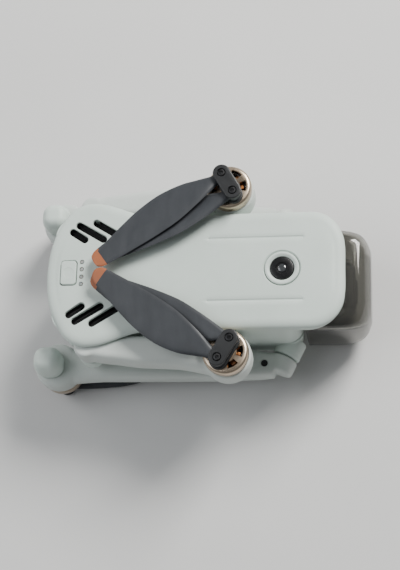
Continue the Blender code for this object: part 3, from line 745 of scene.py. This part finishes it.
def bay_parts():
    """Battery tray, vent grilles, the nose's two eyes and the port flap in the tail."""
    tray = slab("battery_floor", rounded(9.2, 107.2, 23.5, 3.0), 24.0, 25.0, 0.1, 0.1, BLACK)
    for k in range(5):
        x = 30 + 16 * k
        cut(tray, slot_tool((x, -12), (x, 12), 4.0, ((20, 0), (30, 0))))
    fit(dress(tray, BLACK), "airframe", "black_plastic", "battery_tray")
    plate = slab("grille", ((9.2, -23.4), (36.0, -23.4), (36.0, -12.6), (9.2, -12.6)), 45.1, 45.8)
    for start, end in VENTS:
        for off in (-0.75, 0.75):
            aside = Vector((off * 0.5, off * 0.86))
            a = Vector((start[0], -start[1])) + aside
            b = Vector((end[0], -end[1])) + aside
            add(plate, slot_tool(a, b, 0.35, ((45.5, 0), (46.9, 0), (47.1, -0.06))))
    # the grilles are black parts, dressed in the near-black of painted shade so the slots above them look
    # deeper
    fit_pair(dress(plate, PAINTED_SHADE_BLACK), "vent_grille_fine", "airframe", "black_plastic", "vent_grille_{}")
    rim = [(2.05, 0), (2.6, 0), (2.6, 1.9), (2.35, 2.15), (2.1, 2.1), (2.05, 1.9)]
    glass = [(0, 0.1), (1.95, 0.1), (1.95, 1.6), (1.5, 1.9), (0.8, 2.08), (0, 2.12)]
    for tag, side in SIDES:
        spot = (EYE_SPOT.x, EYE_SPOT.y * side, EYE_SPOT.z)
        fit(lathe("nose_eye_rim_" + tag, rim, spot, FORWARD, BLACK, 48),
            "airframe", "lens_black", "front_sensor_" + tag)
        fit(lathe("nose_eye_" + tag, glass, spot, FORWARD, LENS, 48), "airframe", "lens_black")
    flap = block("port_flap_fine", (2.5, 5.0, 13.0), (3.7, 18.0, 21.4), 0.45)
    cut(flap, *[block("tool", (1.0, 8.0, 19.6 - 0.7 * k), (2.75, 15.0, 19.9 - 0.7 * k))
                for k in range(3)])
    fit(dress(flap, GREY_SOFT), "port_flap", "soft_grey", "port_cover")


def electronics():
    """Main board, heat sink, belly panel with its lenses, and the belly lamp."""
    board = slab("circuit_board", rounded(20, 94, 13.2, 2.0), 9.6, 11.0, 0.05, 0.05)
    cut(board, *[rod("tool", (x, y, 5), 1.2, 10) for _, x in BELLY_SCREWS for y in (-10.5, 10.5)])
    for (x0, y0), (x1, y1), top in (((34, -7), (46, 5), 12.2), ((52, -4), (60, 4), 12.0),
                                    ((66, -10), (78, -2), 12.4), ((66, 2), (74, 10), 12.0)):
        add(board, block("chip", (x0, y0, 10.5), (x1, y1, top), 0.15))
    dress(board, BOARD)
    tint(board, BLACK, lambda x, y, z, n: z > 11.1)
    fit(board, "airframe", "board_green", "main_board")
    sink = block("cooling_fins", (28, -10.6, 4.6), (84, 10.6, 9.3), 0.3)
    for k in range(13):
        y = -9.6 + 1.6 * k
        cut(sink, block("tool", (20, y, 2), (90, y + 0.8, 7.9)))
    fit(dress(sink, SINK), "airframe", "sink_metal", "heat_sink")
    panel = slab("belly_window", rounded(52.3, 87.7, 9.0, 2.7), 0.25, 1.6, 0.35, 0.05)
    funnel = [(0, -1), (4.0, -1), (3.1, 0.7), (3.1, 5), (0, 5)]
    cut(panel, *[lathe("tool", funnel, (x, 0, 0)) for _, x in BELLY_EYES])
    cut(panel, *[rod("tool", (70 + 3.2 * k, 0, -1), 0.9, 2.0, segments=20) for k in (-1, 0, 1)])
    fit(dress(panel, BLACK), "airframe", "black_plastic", "belly_sensor_panel")
    eye = [(0, 1.6), (2.8, 1.6), (2.8, 0.55), (2.5, 0.3), (2.1, 0.42), (1.9, 0.5), (1.2, 0.24),
           (0.5, 0.14), (0, 0.12)]
    for tag, place in BELLY_EYES:
        glass = lathe("belly_eye_" + tag, eye, (place, 0, 0), mat=LENS)
        tint(glass, BLACK, lambda x, y, z, n, place=place: math.hypot(x - place, y) > 2.05)
        fit(glass, "airframe", "lens_black", "belly_lens_" + tag)
    lamp = [(0, 1.6), (3.8, 1.6), (3.8, 0.5), (3.55, 0.25), (3.1, 0.25), (2.9, 0.45), (0, 0.45)]
    fit(lathe("belly_light", lamp, (BELLY_LAMP_X, 0, 0), mat=LAMP), "airframe", "lamp_white", "belly_lamp")


def battery():
    """Pack with its end cap, whose catches are squeezed on the two sides."""
    case = slab("battery_pack", rounded(9.0, 80.0, 22.4, 3.0), 25.3, 44.8, 1.2, 1.2, steps=5)
    cut(case, *[block("tool", (30, y - 0.5, 44.3), (74, y + 0.5, 46)) for y in (-16, 16)])
    cut(case, *[block("tool", (78.6, y - 1.0, 28), (82, y + 1.0, 35)) for y in (-10, -5, 0, 5, 10)])
    fit(dress(case, BLACK), "battery", "black_plastic", "battery_case")
    half = ((1.0, 0.0), (1.3, 6.0), (2.2, 12.0), (4.0, 18.0), (6.0, 22.0), (7.4, 23.4), (8.7, 23.4))
    near = [(x, -y) for x, y in reversed(half[1:])]
    outline = [(p.x, p.y) for p in spline(near + list(half), 61)]
    cap = slab("battery_end", outline, 24.3, 45.9, 1.1, 0.6, steps=5)
    for side in (-1, 1):
        lo, hi = sorted((side * 15.2, side * 20.4))
        cut(cap, block("tool", (-2, lo, 29.4), (6.4, hi, 40.6)))
    cut(cap, *[block("tool", (-2, -11.0, z - 0.35), (1.95, 11.0, z + 0.35))
               for z in (30, 32.4, 34.8, 37.2, 39.6)])
    fit(dress(cap, CAP), "battery", "battery_grey", "battery_cap")
    latch = block("catch", (3.9, -20.1, 29.7), (6.1, -16.6, 40.3), 0.5)
    cut(latch, *[block("tool", (2.6, -22, z - 0.3), (4.35, -14, z + 0.3))
                 for z in (31.2, 32.6, 34.0, 35.4, 36.8, 38.2)])
    fit_pair(dress(latch, GREY_SOFT), "battery_catch", "latch_{}", "soft_grey", "battery_latch_{}")


# ---- arms
def beam_ring(x, y, half, z0, z1, corner, steps=5):
    """Cross-section of an arm or of the guard: an upright rectangle with round corners."""
    middle = (z0 + z1) / 2
    return [(x, y + v, middle + w)
            for v, w in rounded(-half, half, (z1 - z0) / 2, corner, steps)]


def beam(stations, corner):
    """Arm skin through stations of (x, y, half width, lowest z, highest z)."""
    rows = [Vector(s) for s in stations]
    marks = []
    spans = len(rows) - 1
    for k in range(ARM_RINGS):
        t = k / (ARM_RINGS - 1) * spans
        i = min(int(t), spans - 1)
        u = t - i
        u = u * u * (3 - 2 * u)
        marks.append([rows[i][c] + (rows[i + 1][c] - rows[i][c]) * (u if c > 1 else t - i)
                      for c in range(len(rows[0]))])
    return loft("arm", [beam_ring(x, y, h, a, b, corner) for x, y, h, a, b in marks])


def rear_arms():
    """Arm skins, hinge pins and plugs; the motor stands in a cup on the pod."""
    px, py = REAR_PIVOT
    hx, hy = REAR_HUB
    skin = beam(((px, py, 5.0, 34.4, 45.8), (28, -32.4, 5.6, 34.4, 45.8), (42, -33.4, 6.4, 34.2, 45.9),
                 (58, -34.4, 6.4, 34.8, 45.9), (hx - 4, hy, 7.4, 35.2, 46.1)), 3.4)
    add(skin, rod("knuckle", (px, py, 34.2), 5.25, 11.7, edge=1.2))
    pod = [(0, 33.4), (6.4, 33.4), (8.4, 34.0), (9.7, 35.3), (10.3, 37.2), (10.4, 39.5), (10.4, 45.4),
           (10.2, 46.1), (9.7, 46.45), (8.6, REAR_TOP), (0, REAR_TOP)]
    add(skin, lathe("pod", pod, (hx, hy, 0)))
    melt(skin)
    cut(skin, rod("tool", (px, py, 20), HINGE_BORE, 24.4))
    cut(skin, lathe("tool", [(0, 46.2), (9.0, 46.2), (9.3, 48.0), (0, 48.0)], (hx, hy, 0)))
    cut(skin, rod("tool", (hx, hy, 30), 3.4, 4.2))
    dress(skin, ARM)
    # painted shade: the floor of the motor cup gets the near-black, a dark gap around the bell
    tint(skin, PAINTED_SHADE_BLACK, lambda x, y, z, n: 46.0 < z < 46.3 and math.hypot(x - hx, y - hy) < 8.9)
    fit_pair(skin, "rear_arm_skin", "rear_arm_{}", "arm_grey", "rear_arm_{}")
    pin = rod("pin", (px, py, 27.9), HINGE_PIN, 16.2, mat=STEEL, edge=0.3)
    fit_pair(pin, "rear_pin", "airframe", "pin_steel", "rear_hinge_pin_{}")
    foot = [(0, 33.6), (2.2, 33.6), (3.1, 33.9), (3.1, 35.4), (0, 35.4)]
    fit_pair(lathe("plug", foot, (hx, hy, 0), mat=GREY_SOFT), "pod_plug", "rear_arm_{}", "soft_grey")


def front_arms():
    """Arm skins, root screws, hinge pins, landing legs and lamps; the motor hangs below."""
    hx, hy = FRONT_HUB
    hub = FRONT_PIVOT
    skin = beam(((hx + 4, hy, 7.4, 13.2, 21.8), (22, -33.8, 6.2, 12.4, 21.8), (44, -33.8, 6.2, 11.6, 22.2),
                 (70, -33.8, 6.2, 11.4, 22.6), (88, -33.6, 6.0, 11.4, 22.6),
                 (96.6, -33.9, 5.2, 11.7, 22.3)), 3.2)
    add(skin, rod("knuckle", hub - FOLD_AXIS * 3.0, 5.9, 7.4, FOLD_AXIS, edge=1.2))
    pod = [(0, FRONT_LOW), (8.6, FRONT_LOW), (9.6, FRONT_LOW + 0.1), (10.1, FRONT_LOW + 0.6),
           (10.2, 14.5), (10.2, 19.6), (9.9, 20.9), (9.0, 21.7), (7.6, 22.0), (0, 22.0)]
    add(skin, lathe("pod", pod, (hx, hy, 0)))
    melt(skin)
    cut(skin, rod("tool", hub - FOLD_AXIS * 6, HINGE_BORE, 8.4, FOLD_AXIS))
    cut(skin, block("tool", (-12, hy - 2.1, 15.6), (-8.1, hy + 2.1, 19.0)))
    cut(skin, rod("tool", (92.5, -34.0, 22.0), 1.7, 4))
    cut(skin, lathe("tool", [(0, 12.9), (9.0, 12.9), (9.3, 11.0), (0, 11.0)], (hx, hy, 0)))
    dress(skin, ARM)
    # painted shade: the floor of the motor cup gets the near-black, a dark gap around the bell
    tint(skin, PAINTED_SHADE_BLACK, lambda x, y, z, n: 12.7 < z < 13.0 and math.hypot(x - hx, y - hy) < 8.9)
    fit_pair(skin, "front_arm_skin", "front_arm_{}", "arm_grey", "front_arm_{}")
    fit_pair(screw("root_screw", (92.5, -34.0, 22.15), (0, 0, 1), 1.45), "front_root_screw",
             "front_arm_{}", "black_plastic")
    pin = rod("pin", hub - FOLD_AXIS * 10.0, HINGE_PIN, 12.0, FOLD_AXIS, STEEL, edge=0.3)
    fit_pair(pin, "front_pin", "airframe", "pin_steel", "front_hinge_pin_{}")
    rows = ((22.3, 0.5), (22.6, 0.2), (23.2, 0.1), (28.0, 0.0), (30.2, 0.35), (31.6, 0.85),
            (32.6, 1.5), (33.4, 2.5), (33.85, 3.4), (34.0, 4.3))
    leg = loft("leg", [raised(rounded(i - 8.8, 3.6 - i, 6.2 - i, 5.0 - i, 10, hy), z) for z, i in rows],
               SHELL)
    fit_pair(leg, "leg_skin", "front_arm_{}", "shell_grey", "landing_leg_{}")
    lamp = block("lamp", (-9.7, hy - 1.8, 15.9), (-8.4, hy + 1.8, 18.7), 0.45, LAMP)
    fit_pair(lamp, "arm_lamp", "front_arm_{}", "lamp_white", "status_lamp_{}")


# ---- motors and propellers
def mapper(hub, top, up, heading):
    """Carry a propulsion piece from its own axes to its hub; up is -1 for a hanging motor."""
    c, s = math.cos(math.radians(heading)), math.sin(math.radians(heading))

    def move(p):
        return (hub[0] + c * p[0] - s * p[1], hub[1] + s * p[0] + c * p[1], top + up * p[2])
    return move


def reshape(obj, move, flip):
    for v in obj.data.vertices:
        v.co = at(move((v.co.x / MM + SHIFT_X, v.co.y / MM, v.co.z / MM)))
    if flip:
        obj.data.flip_normals()
    obj.data.update()
    return obj


def capsule(reach, radius):
    """Plan of a plate with round ends, long in y."""
    return arc(0, reach, radius, 0, 180, 12) + arc(0, -reach, radius, 180, 180, 12)


# (distance out, chord, thickness, pitch in degrees, share of the stacking height, drift of the middle)
BLADE_SPAN = ((2.0, 4.4, 2.2, 0.0, 0.0, 0.0), (5.0, 5.6, 2.0, 3.0, 0.1, 0.0),
              (10.0, 9.0, 1.7, 12.5, 0.7, 0.6), (17.0, 13.2, 1.3, 13.5, 1.0, 1.4),
              (27.0, 16.4, 1.2, 12.0, 1.0, 1.7), (38.0, 15.8, 1.1, 10.5, 1.0, 1.6),
              (48.0, 13.2, 1.0, 9.2, 1.0, 1.1), (57.0, 10.2, 0.9, 8.2, 1.0, 0.5),
              (64.2, 7.2, 0.85, 7.6, 1.0, 0.0), (66.5, 3.8, 0.8, 7.4, 1.0, 0.0))
TIP_START = 62.6


def blade_rings(level):
    """Aerofoil sections from root to tip; level is how far the vane is lifted off its root."""
    stations = spline(BLADE_SPAN, 64)
    end = stations[-1].copy()
    end[0] += 0.25
    end[1] *= 0.55
    over = [(-0.5 + k / 14, 1) for k in range(15)]
    under = [(-0.5 + k / 14, 0) for k in range(13, 0, -1)]
    rings = []
    for x, chord, thick, pitch, share, drift in stations + [end]:
        slope = math.tan(math.radians(pitch))
        ring = []
        for f, upper in over + under:
            crown = thick * max(0.0, 1 - (2 * f) ** 2) ** 0.5
            lean = crown * (0.62 - 0.25 * f) if upper else -0.36 * crown
            y = f * chord + drift
            ring.append((x, y, BOSS_MID + level * share - y * slope + lean))
        rings.append(ring)
    return rings


def blade(pin_y, swing, level):
    """Folding vane with its root eye, swung about its pin."""
    vane = loft("vane", blade_rings(level), BLADE, angle=50)
    eye = [(1.6, 7.2), (2.8, 7.2), (3.2, 7.5), (3.2, 10.0), (2.8, 10.3), (1.6, 10.3)]
    add(vane, lathe("eye", eye, (0, 0, 0), segments=48))
    cut(vane, rod("tool", (0, 0, 0), 1.6, 20))
    dress(vane, BLADE)
    tint(vane, TIP, lambda x, y, z, n: x > TIP_START)
    c, s = math.cos(math.radians(swing)), math.sin(math.radians(swing))
    return reshape(vane, lambda p: (c * p[0] - s * p[1], pin_y + s * p[0] + c * p[1], p[2]), False)


def stator():
    """Nine wound teeth on a core."""
    core = lathe("coils", [(1.9, 0.3), (3.2, 0.3), (3.2, 3.7), (1.9, 3.7)], (0, 0, 0), segments=48)
    origin = at((0, 0, 0))
    for k in range(9):
        tooth = block("tooth", (2.6, -0.7, 1.2), (7.2, 0.7, 2.8), 0.1)
        shoe = block("shoe", (6.9, -1.9, 1.0), (7.8, 1.9, 3.0), 0.2)
        coil = block("coil", (3.6, -1.35, 0.55), (6.6, 1.35, 3.45), 0.5)
        turn = Matrix.Rotation(2 * math.pi * k / 9, 4, "Z")
        for bit in (tooth, shoe, coil):
            bit.data.transform(Matrix.Translation(origin) @ turn @ Matrix.Translation(-origin))
        add(core, tooth, shoe, coil)
    dress(core, CORE)
    tint(core, WIRE, lambda x, y, z, n: 3.4 < math.hypot(x, y) < 6.75)
    return core


def rotor():
    """Vented bell with the black plates that hold the blades' pins."""
    cup = [(0, 0.6), (1.5, 0.6), (1.5, 4.2), (8.6, 4.2), (8.6, 0.6), (8.75, 0.5), (9.5, 0.5),
           (9.65, 0.65), (9.65, 1.0), (9.5, 1.15), (9.5, 1.35), (9.75, 1.55), (9.8, 1.9), (9.8, 4.3),
           (9.6, 4.9), (9.1, 5.4), (8.4, 5.65), (6.0, 5.7), (0, 5.7)]
    body = lathe("bell", cup, (0, 0, 0), segments=96)
    for k in range(6):
        start = math.pi * k / 3 + 0.18
        window = []
        for radius, order in ((5.0, range(7)), (7.7, range(6, -1, -1))):
            for j in order:
                a = start + 0.11 * j
                window.append((radius * math.cos(a), radius * math.sin(a)))
        cut(body, slab("tool", window, 3.0, 8.0))
    add(body, slab("plate", capsule(PIN_OFFSET, 4.0), 5.4, 6.9, 0.1, 0.4))
    add(body, slab("cover", capsule(PIN_OFFSET, 3.8), 10.6, 11.9, 0.2, 0.5))
    for y, radius in ((-PIN_OFFSET, 1.3), (0.0, 1.1), (PIN_OFFSET, 1.3)):
        add(body, rod("post", (0, y, 6.4), radius, 4.8, segments=32))
    for y in (-PIN_OFFSET, PIN_OFFSET):
        cut(body, rod("tool", (0, y, 11.3), 1.95, 3, segments=32))
    dress(body, MOTOR)
    tint(body, HUB, lambda x, y, z, n: z > 5.75)
    return body


def propulsion(stem, hub, top, up, heading, high_swing, low_swing):
    """Stator, bell, pin screws and two blades at one arm, and their mirror images."""
    move = mapper(hub, top, up, heading)
    flip = up < 0
    fit_pair(reshape(stator(), move, flip), stem + "_coils", stem + "_arm_{}", "winding_copper",
             stem + "_stator_{}")
    fit_pair(reshape(rotor(), move, flip), stem + "_bell", stem + "_rotor_{}", "motor_metal",
             stem + "_rotor_{}")
    for tag, y in (("high", PIN_OFFSET), ("low", -PIN_OFFSET)):
        head = reshape(screw("pin_screw", (0, y, 11.5), (0, 0, 1), 1.7), move, flip)
        fit_pair(head, f"{stem}_pin_screw_{tag}", stem + "_rotor_{}", "pin_steel")
    for tag, y, swing, level in (("high", PIN_OFFSET, high_swing, 0.65),
                                 ("low", -PIN_OFFSET, low_swing, -0.85)):
        vane = reshape(blade(y, swing, level), move, flip)
        fit_pair(vane, f"{stem}_vane_{tag}", f"{stem}_blade_{tag}_{{}}", "blade_grey",
                 f"{stem}_blade_{tag}_{{}}")


# ---- camera
def gimbal():
    """Mount, yaw and roll arms; discs and drums are the motors on their axes."""
    mount = block("gimbal_bracket", (110.3, -12, 27.5), (111.4, 12, 35.2), 0.3)
    add(mount, block("beam", (111.2, -7, 32.0), (123.5, 7, 35.2), 0.8),
        rod("boss", (YAW_X, 0, 31.6), 5.2, 2.0, edge=0.3))
    for y in (-9.5, 9.5):
        cut(mount, rod("tool", (105, y, 31.4), 1.0, 9, FORWARD))
    fit(dress(mount, BLACK), "airframe", "black_plastic", "gimbal_mount")
    yaw = rod("yaw_drum", (YAW_X, 0, 27.9), 5.8, 3.4, edge=0.5, segments=64)
    add(yaw, block("neck", (112.6, -3.2, 13.0), (114.6, 3.2, 30.6), 0.5),
        block("bridge", (113.6, -3.2, 28.3), (117, 3.2, 30.5), 0.4),
        rod("drum", (112.8, 0, CAMERA_Z), 5.0, 1.9, FORWARD, edge=0.3, segments=64))
    fit(dress(yaw, CAP), "gimbal_yaw", "battery_grey", "yaw_arm")
    low, high = CAMERA_Z - 3.4, CAMERA_Z + 3.4
    roll = rod("roll_frame", (115.0, 0, CAMERA_Z), 5.4, 1.6, FORWARD, edge=0.3, segments=64)
    add(roll, block("rail", (115.2, 0, low), (116.5, 13.8, high), 0.3),
        block("cheek", (115.3, 11.8, low), (CAMERA_X + 3.5, 13.7, high), 0.5),
        rod("disc", (CAMERA_X, 11.9, CAMERA_Z), 4.8, 1.7, (0, 1, 0), edge=0.4, segments=64))
    fit(dress(roll, CAP), "gimbal_roll", "battery_grey", "roll_arm")


def camera_head():
    """Camera body with a ribbed back, and its stepped lens."""
    cx, cz = CAMERA_X, CAMERA_Z
    head = block("camera_body", (cx - 6.4, -10.6, cz - 6.4), (cx + 6.6, 10.2, cz + 6.4), 2.0, segments=5)
    add(head, rod("hub", (cx, 9.8, cz), 4.4, 1.7, (0, 1, 0), edge=0.2),
        rod("barrel", (cx + 5.9, LENS_Y, cz), 5.4, 1.9, FORWARD, edge=0.4, segments=72))
    cut(head, rod("tool", (cx + 5.1, LENS_Y, cz), 4.4, 9, FORWARD, segments=72))
    cut(head, *[block("tool", (cx - 9, -8.2 + 2.2 * k, cz - 4.2), (cx - 5.6, -7.3 + 2.2 * k, cz + 4.2))
                for k in range(8)])
    fit(dress(head, BLACK), "camera", "black_plastic", "camera_head")
    steps = [(0, 0), (4.1, 0), (4.1, 1.5), (3.7, 1.75), (3.3, 1.75), (3.0, 1.35), (2.5, 1.35),
             (2.3, 1.65), (1.6, 1.95), (0.8, 2.1), (0, 2.15)]
    glass = lathe("camera_glass", steps, (cx + 5.4, LENS_Y, cz), FORWARD, LENS, 72)
    tint(glass, BLACK, lambda x, y, z, n: math.hypot(y - LENS_Y, z - cz) > 2.45)
    fit(glass, "camera", "lens_black", "camera_lens")


def guard():
    """Clear hood of even wall, open at the back; stations are (x, half width, z0, z1, corner)."""
    stations = ((111.0, 22.6, 5.2, 37.3, 5.0), (126.0, 22.6, 4.0, 37.3, 6.0), (133.6, 21.4, 4.8, 36.6, 7.0),
                (137.0, 19.2, 7.0, 34.6, 8.0), (139.0, 15.6, 10.8, 31.0, 8.0))
    wall = 1.2
    back = stations[0][0]
    marks = spline(stations, 33)
    outer = [beam_ring(x, 0, w, a, b, r, 8) for x, w, a, b, r in marks]
    inner = [beam_ring(x - wall, 0, w - wall, a + wall, b - wall, r - wall, 8) for x, w, a, b, r in marks]
    inner[0] = [(back, y, z) for _, y, z in inner[0]]
    inner = [ring for ring in inner if ring[0][0] >= back]
    bm = bmesh.new()
    mouths = []
    for rings in (outer, inner):
        rows = [[bm.verts.new(at(p)) for p in ring] for ring in rings]
        for low, high in zip(rows, rows[1:]):
            bridge(bm, low, high)
        bm.faces.new(rows[-1])
        mouths.append(rows[0])
    bridge(bm, *mouths)
    fit(to_object(bm, "camera_shield", SMOKE, 40), "guard", "smoked_guard", "gimbal_guard")


# ---- light, floor and camera
SENSOR_MM = 36.0
FOCAL_MM = 92.0
PHOTO_PITCH = math.radians(55.9)  # how far the photograph looks down at the middle of its view
PHOTO_TURN = math.radians(2.7)  # how far the object is turned in plan
SIGHT = Vector((-0.166, 0.307, -0.937)).normalized()  # from the photograph's camera to the object
SIGHT_DISTANCE = 0.64
FLOOR_GAP = 0.0004


def studio():
    """Pale paper floor, three soft lamps and an even sky."""
    bm = bmesh.new()
    bmesh.ops.create_grid(bm, x_segments=1, y_segments=1, size=3.0)
    floor = to_object(bm, "floor", None)
    s = Shader("floor_paper", Roughness=0.9)
    mottle = s.noise(12.0, 3.0, 0.5)
    s.colour(s.ramp(mottle, ((0.3, (0.66, 0.66, 0.655)), (0.7, (0.69, 0.69, 0.685)))))
    s.bump(s.noise(900.0, 3.0, 0.6), 0.00004)
    floor.data.materials.append(s.mat)
    floor.location.z = -FLOOR_GAP
    lights = (("key", (0.62, 0.72, 0.85), 0.50, 27.0, (1.0, 0.985, 0.95)),
              ("fill", (-0.75, -0.05, 1.00), 0.9, 6.0, (0.94, 0.97, 1.0)),
              ("rim", (-0.95, 0.55, 0.45), 0.5, 2.5, (1.0, 0.97, 0.93)))
    for name, spot, size, power, tone in lights:
        data = bpy.data.lights.new(name, "AREA")
        data.size = size
        data.energy = power
        data.color = tone
        lamp = bpy.data.objects.new(name, data)
        lamp.location = spot
        lamp.rotation_euler = (-Vector(spot)).to_track_quat("-Z", "Y").to_euler()
        bpy.context.scene.collection.objects.link(lamp)
    world = bpy.data.worlds.new("soft_room")
    world.use_nodes = True
    sky = world.node_tree.nodes["Background"]
    sky.inputs["Color"].default_value = (0.93, 0.95, 0.97, 1.0)
    sky.inputs["Strength"].default_value = 0.24
    bpy.context.scene.world = world


def camera():
    """Look along the photograph's line of sight to the object, with its own tilt and roll."""
    forward = Vector((0.0, math.cos(PHOTO_PITCH), -math.sin(PHOTO_PITCH)))
    swing = forward.rotation_difference(SIGHT)
    up = swing @ Vector((0.0, math.sin(PHOTO_PITCH), math.cos(PHOTO_PITCH)))
    turn = Matrix.Rotation(-PHOTO_TURN, 3, "Z")
    look, up = turn @ SIGHT, turn @ up
    side = look.cross(up).normalized()
    frame_axes = Matrix((side, side.cross(look), -look)).transposed()
    data = bpy.data.cameras.new("camera")
    data.sensor_width = SENSOR_MM
    data.lens = FOCAL_MM
    eye = bpy.data.objects.new("camera", data)
    centre = (Vector(CAD_BOX[0]) + Vector(CAD_BOX[1])) / 2
    eye.matrix_world = Matrix.Translation(centre - look * SIGHT_DISTANCE) @ frame_axes.to_4x4()
    bpy.context.scene.collection.objects.link(eye)
    bpy.context.scene.camera = eye


hull_top()
hull_bottom()
deck_parts()
bay_parts()
electronics()
battery()
rear_arms()
front_arms()
propulsion("rear", REAR_HUB, REAR_TOP, 1, REAR_HEADING, -5.4, 5.0)
propulsion("front", FRONT_HUB, FRONT_LOW, -1, FRONT_HEADING, -4.4, 8.0)
gimbal()
camera_head()
guard()
studio()
camera()
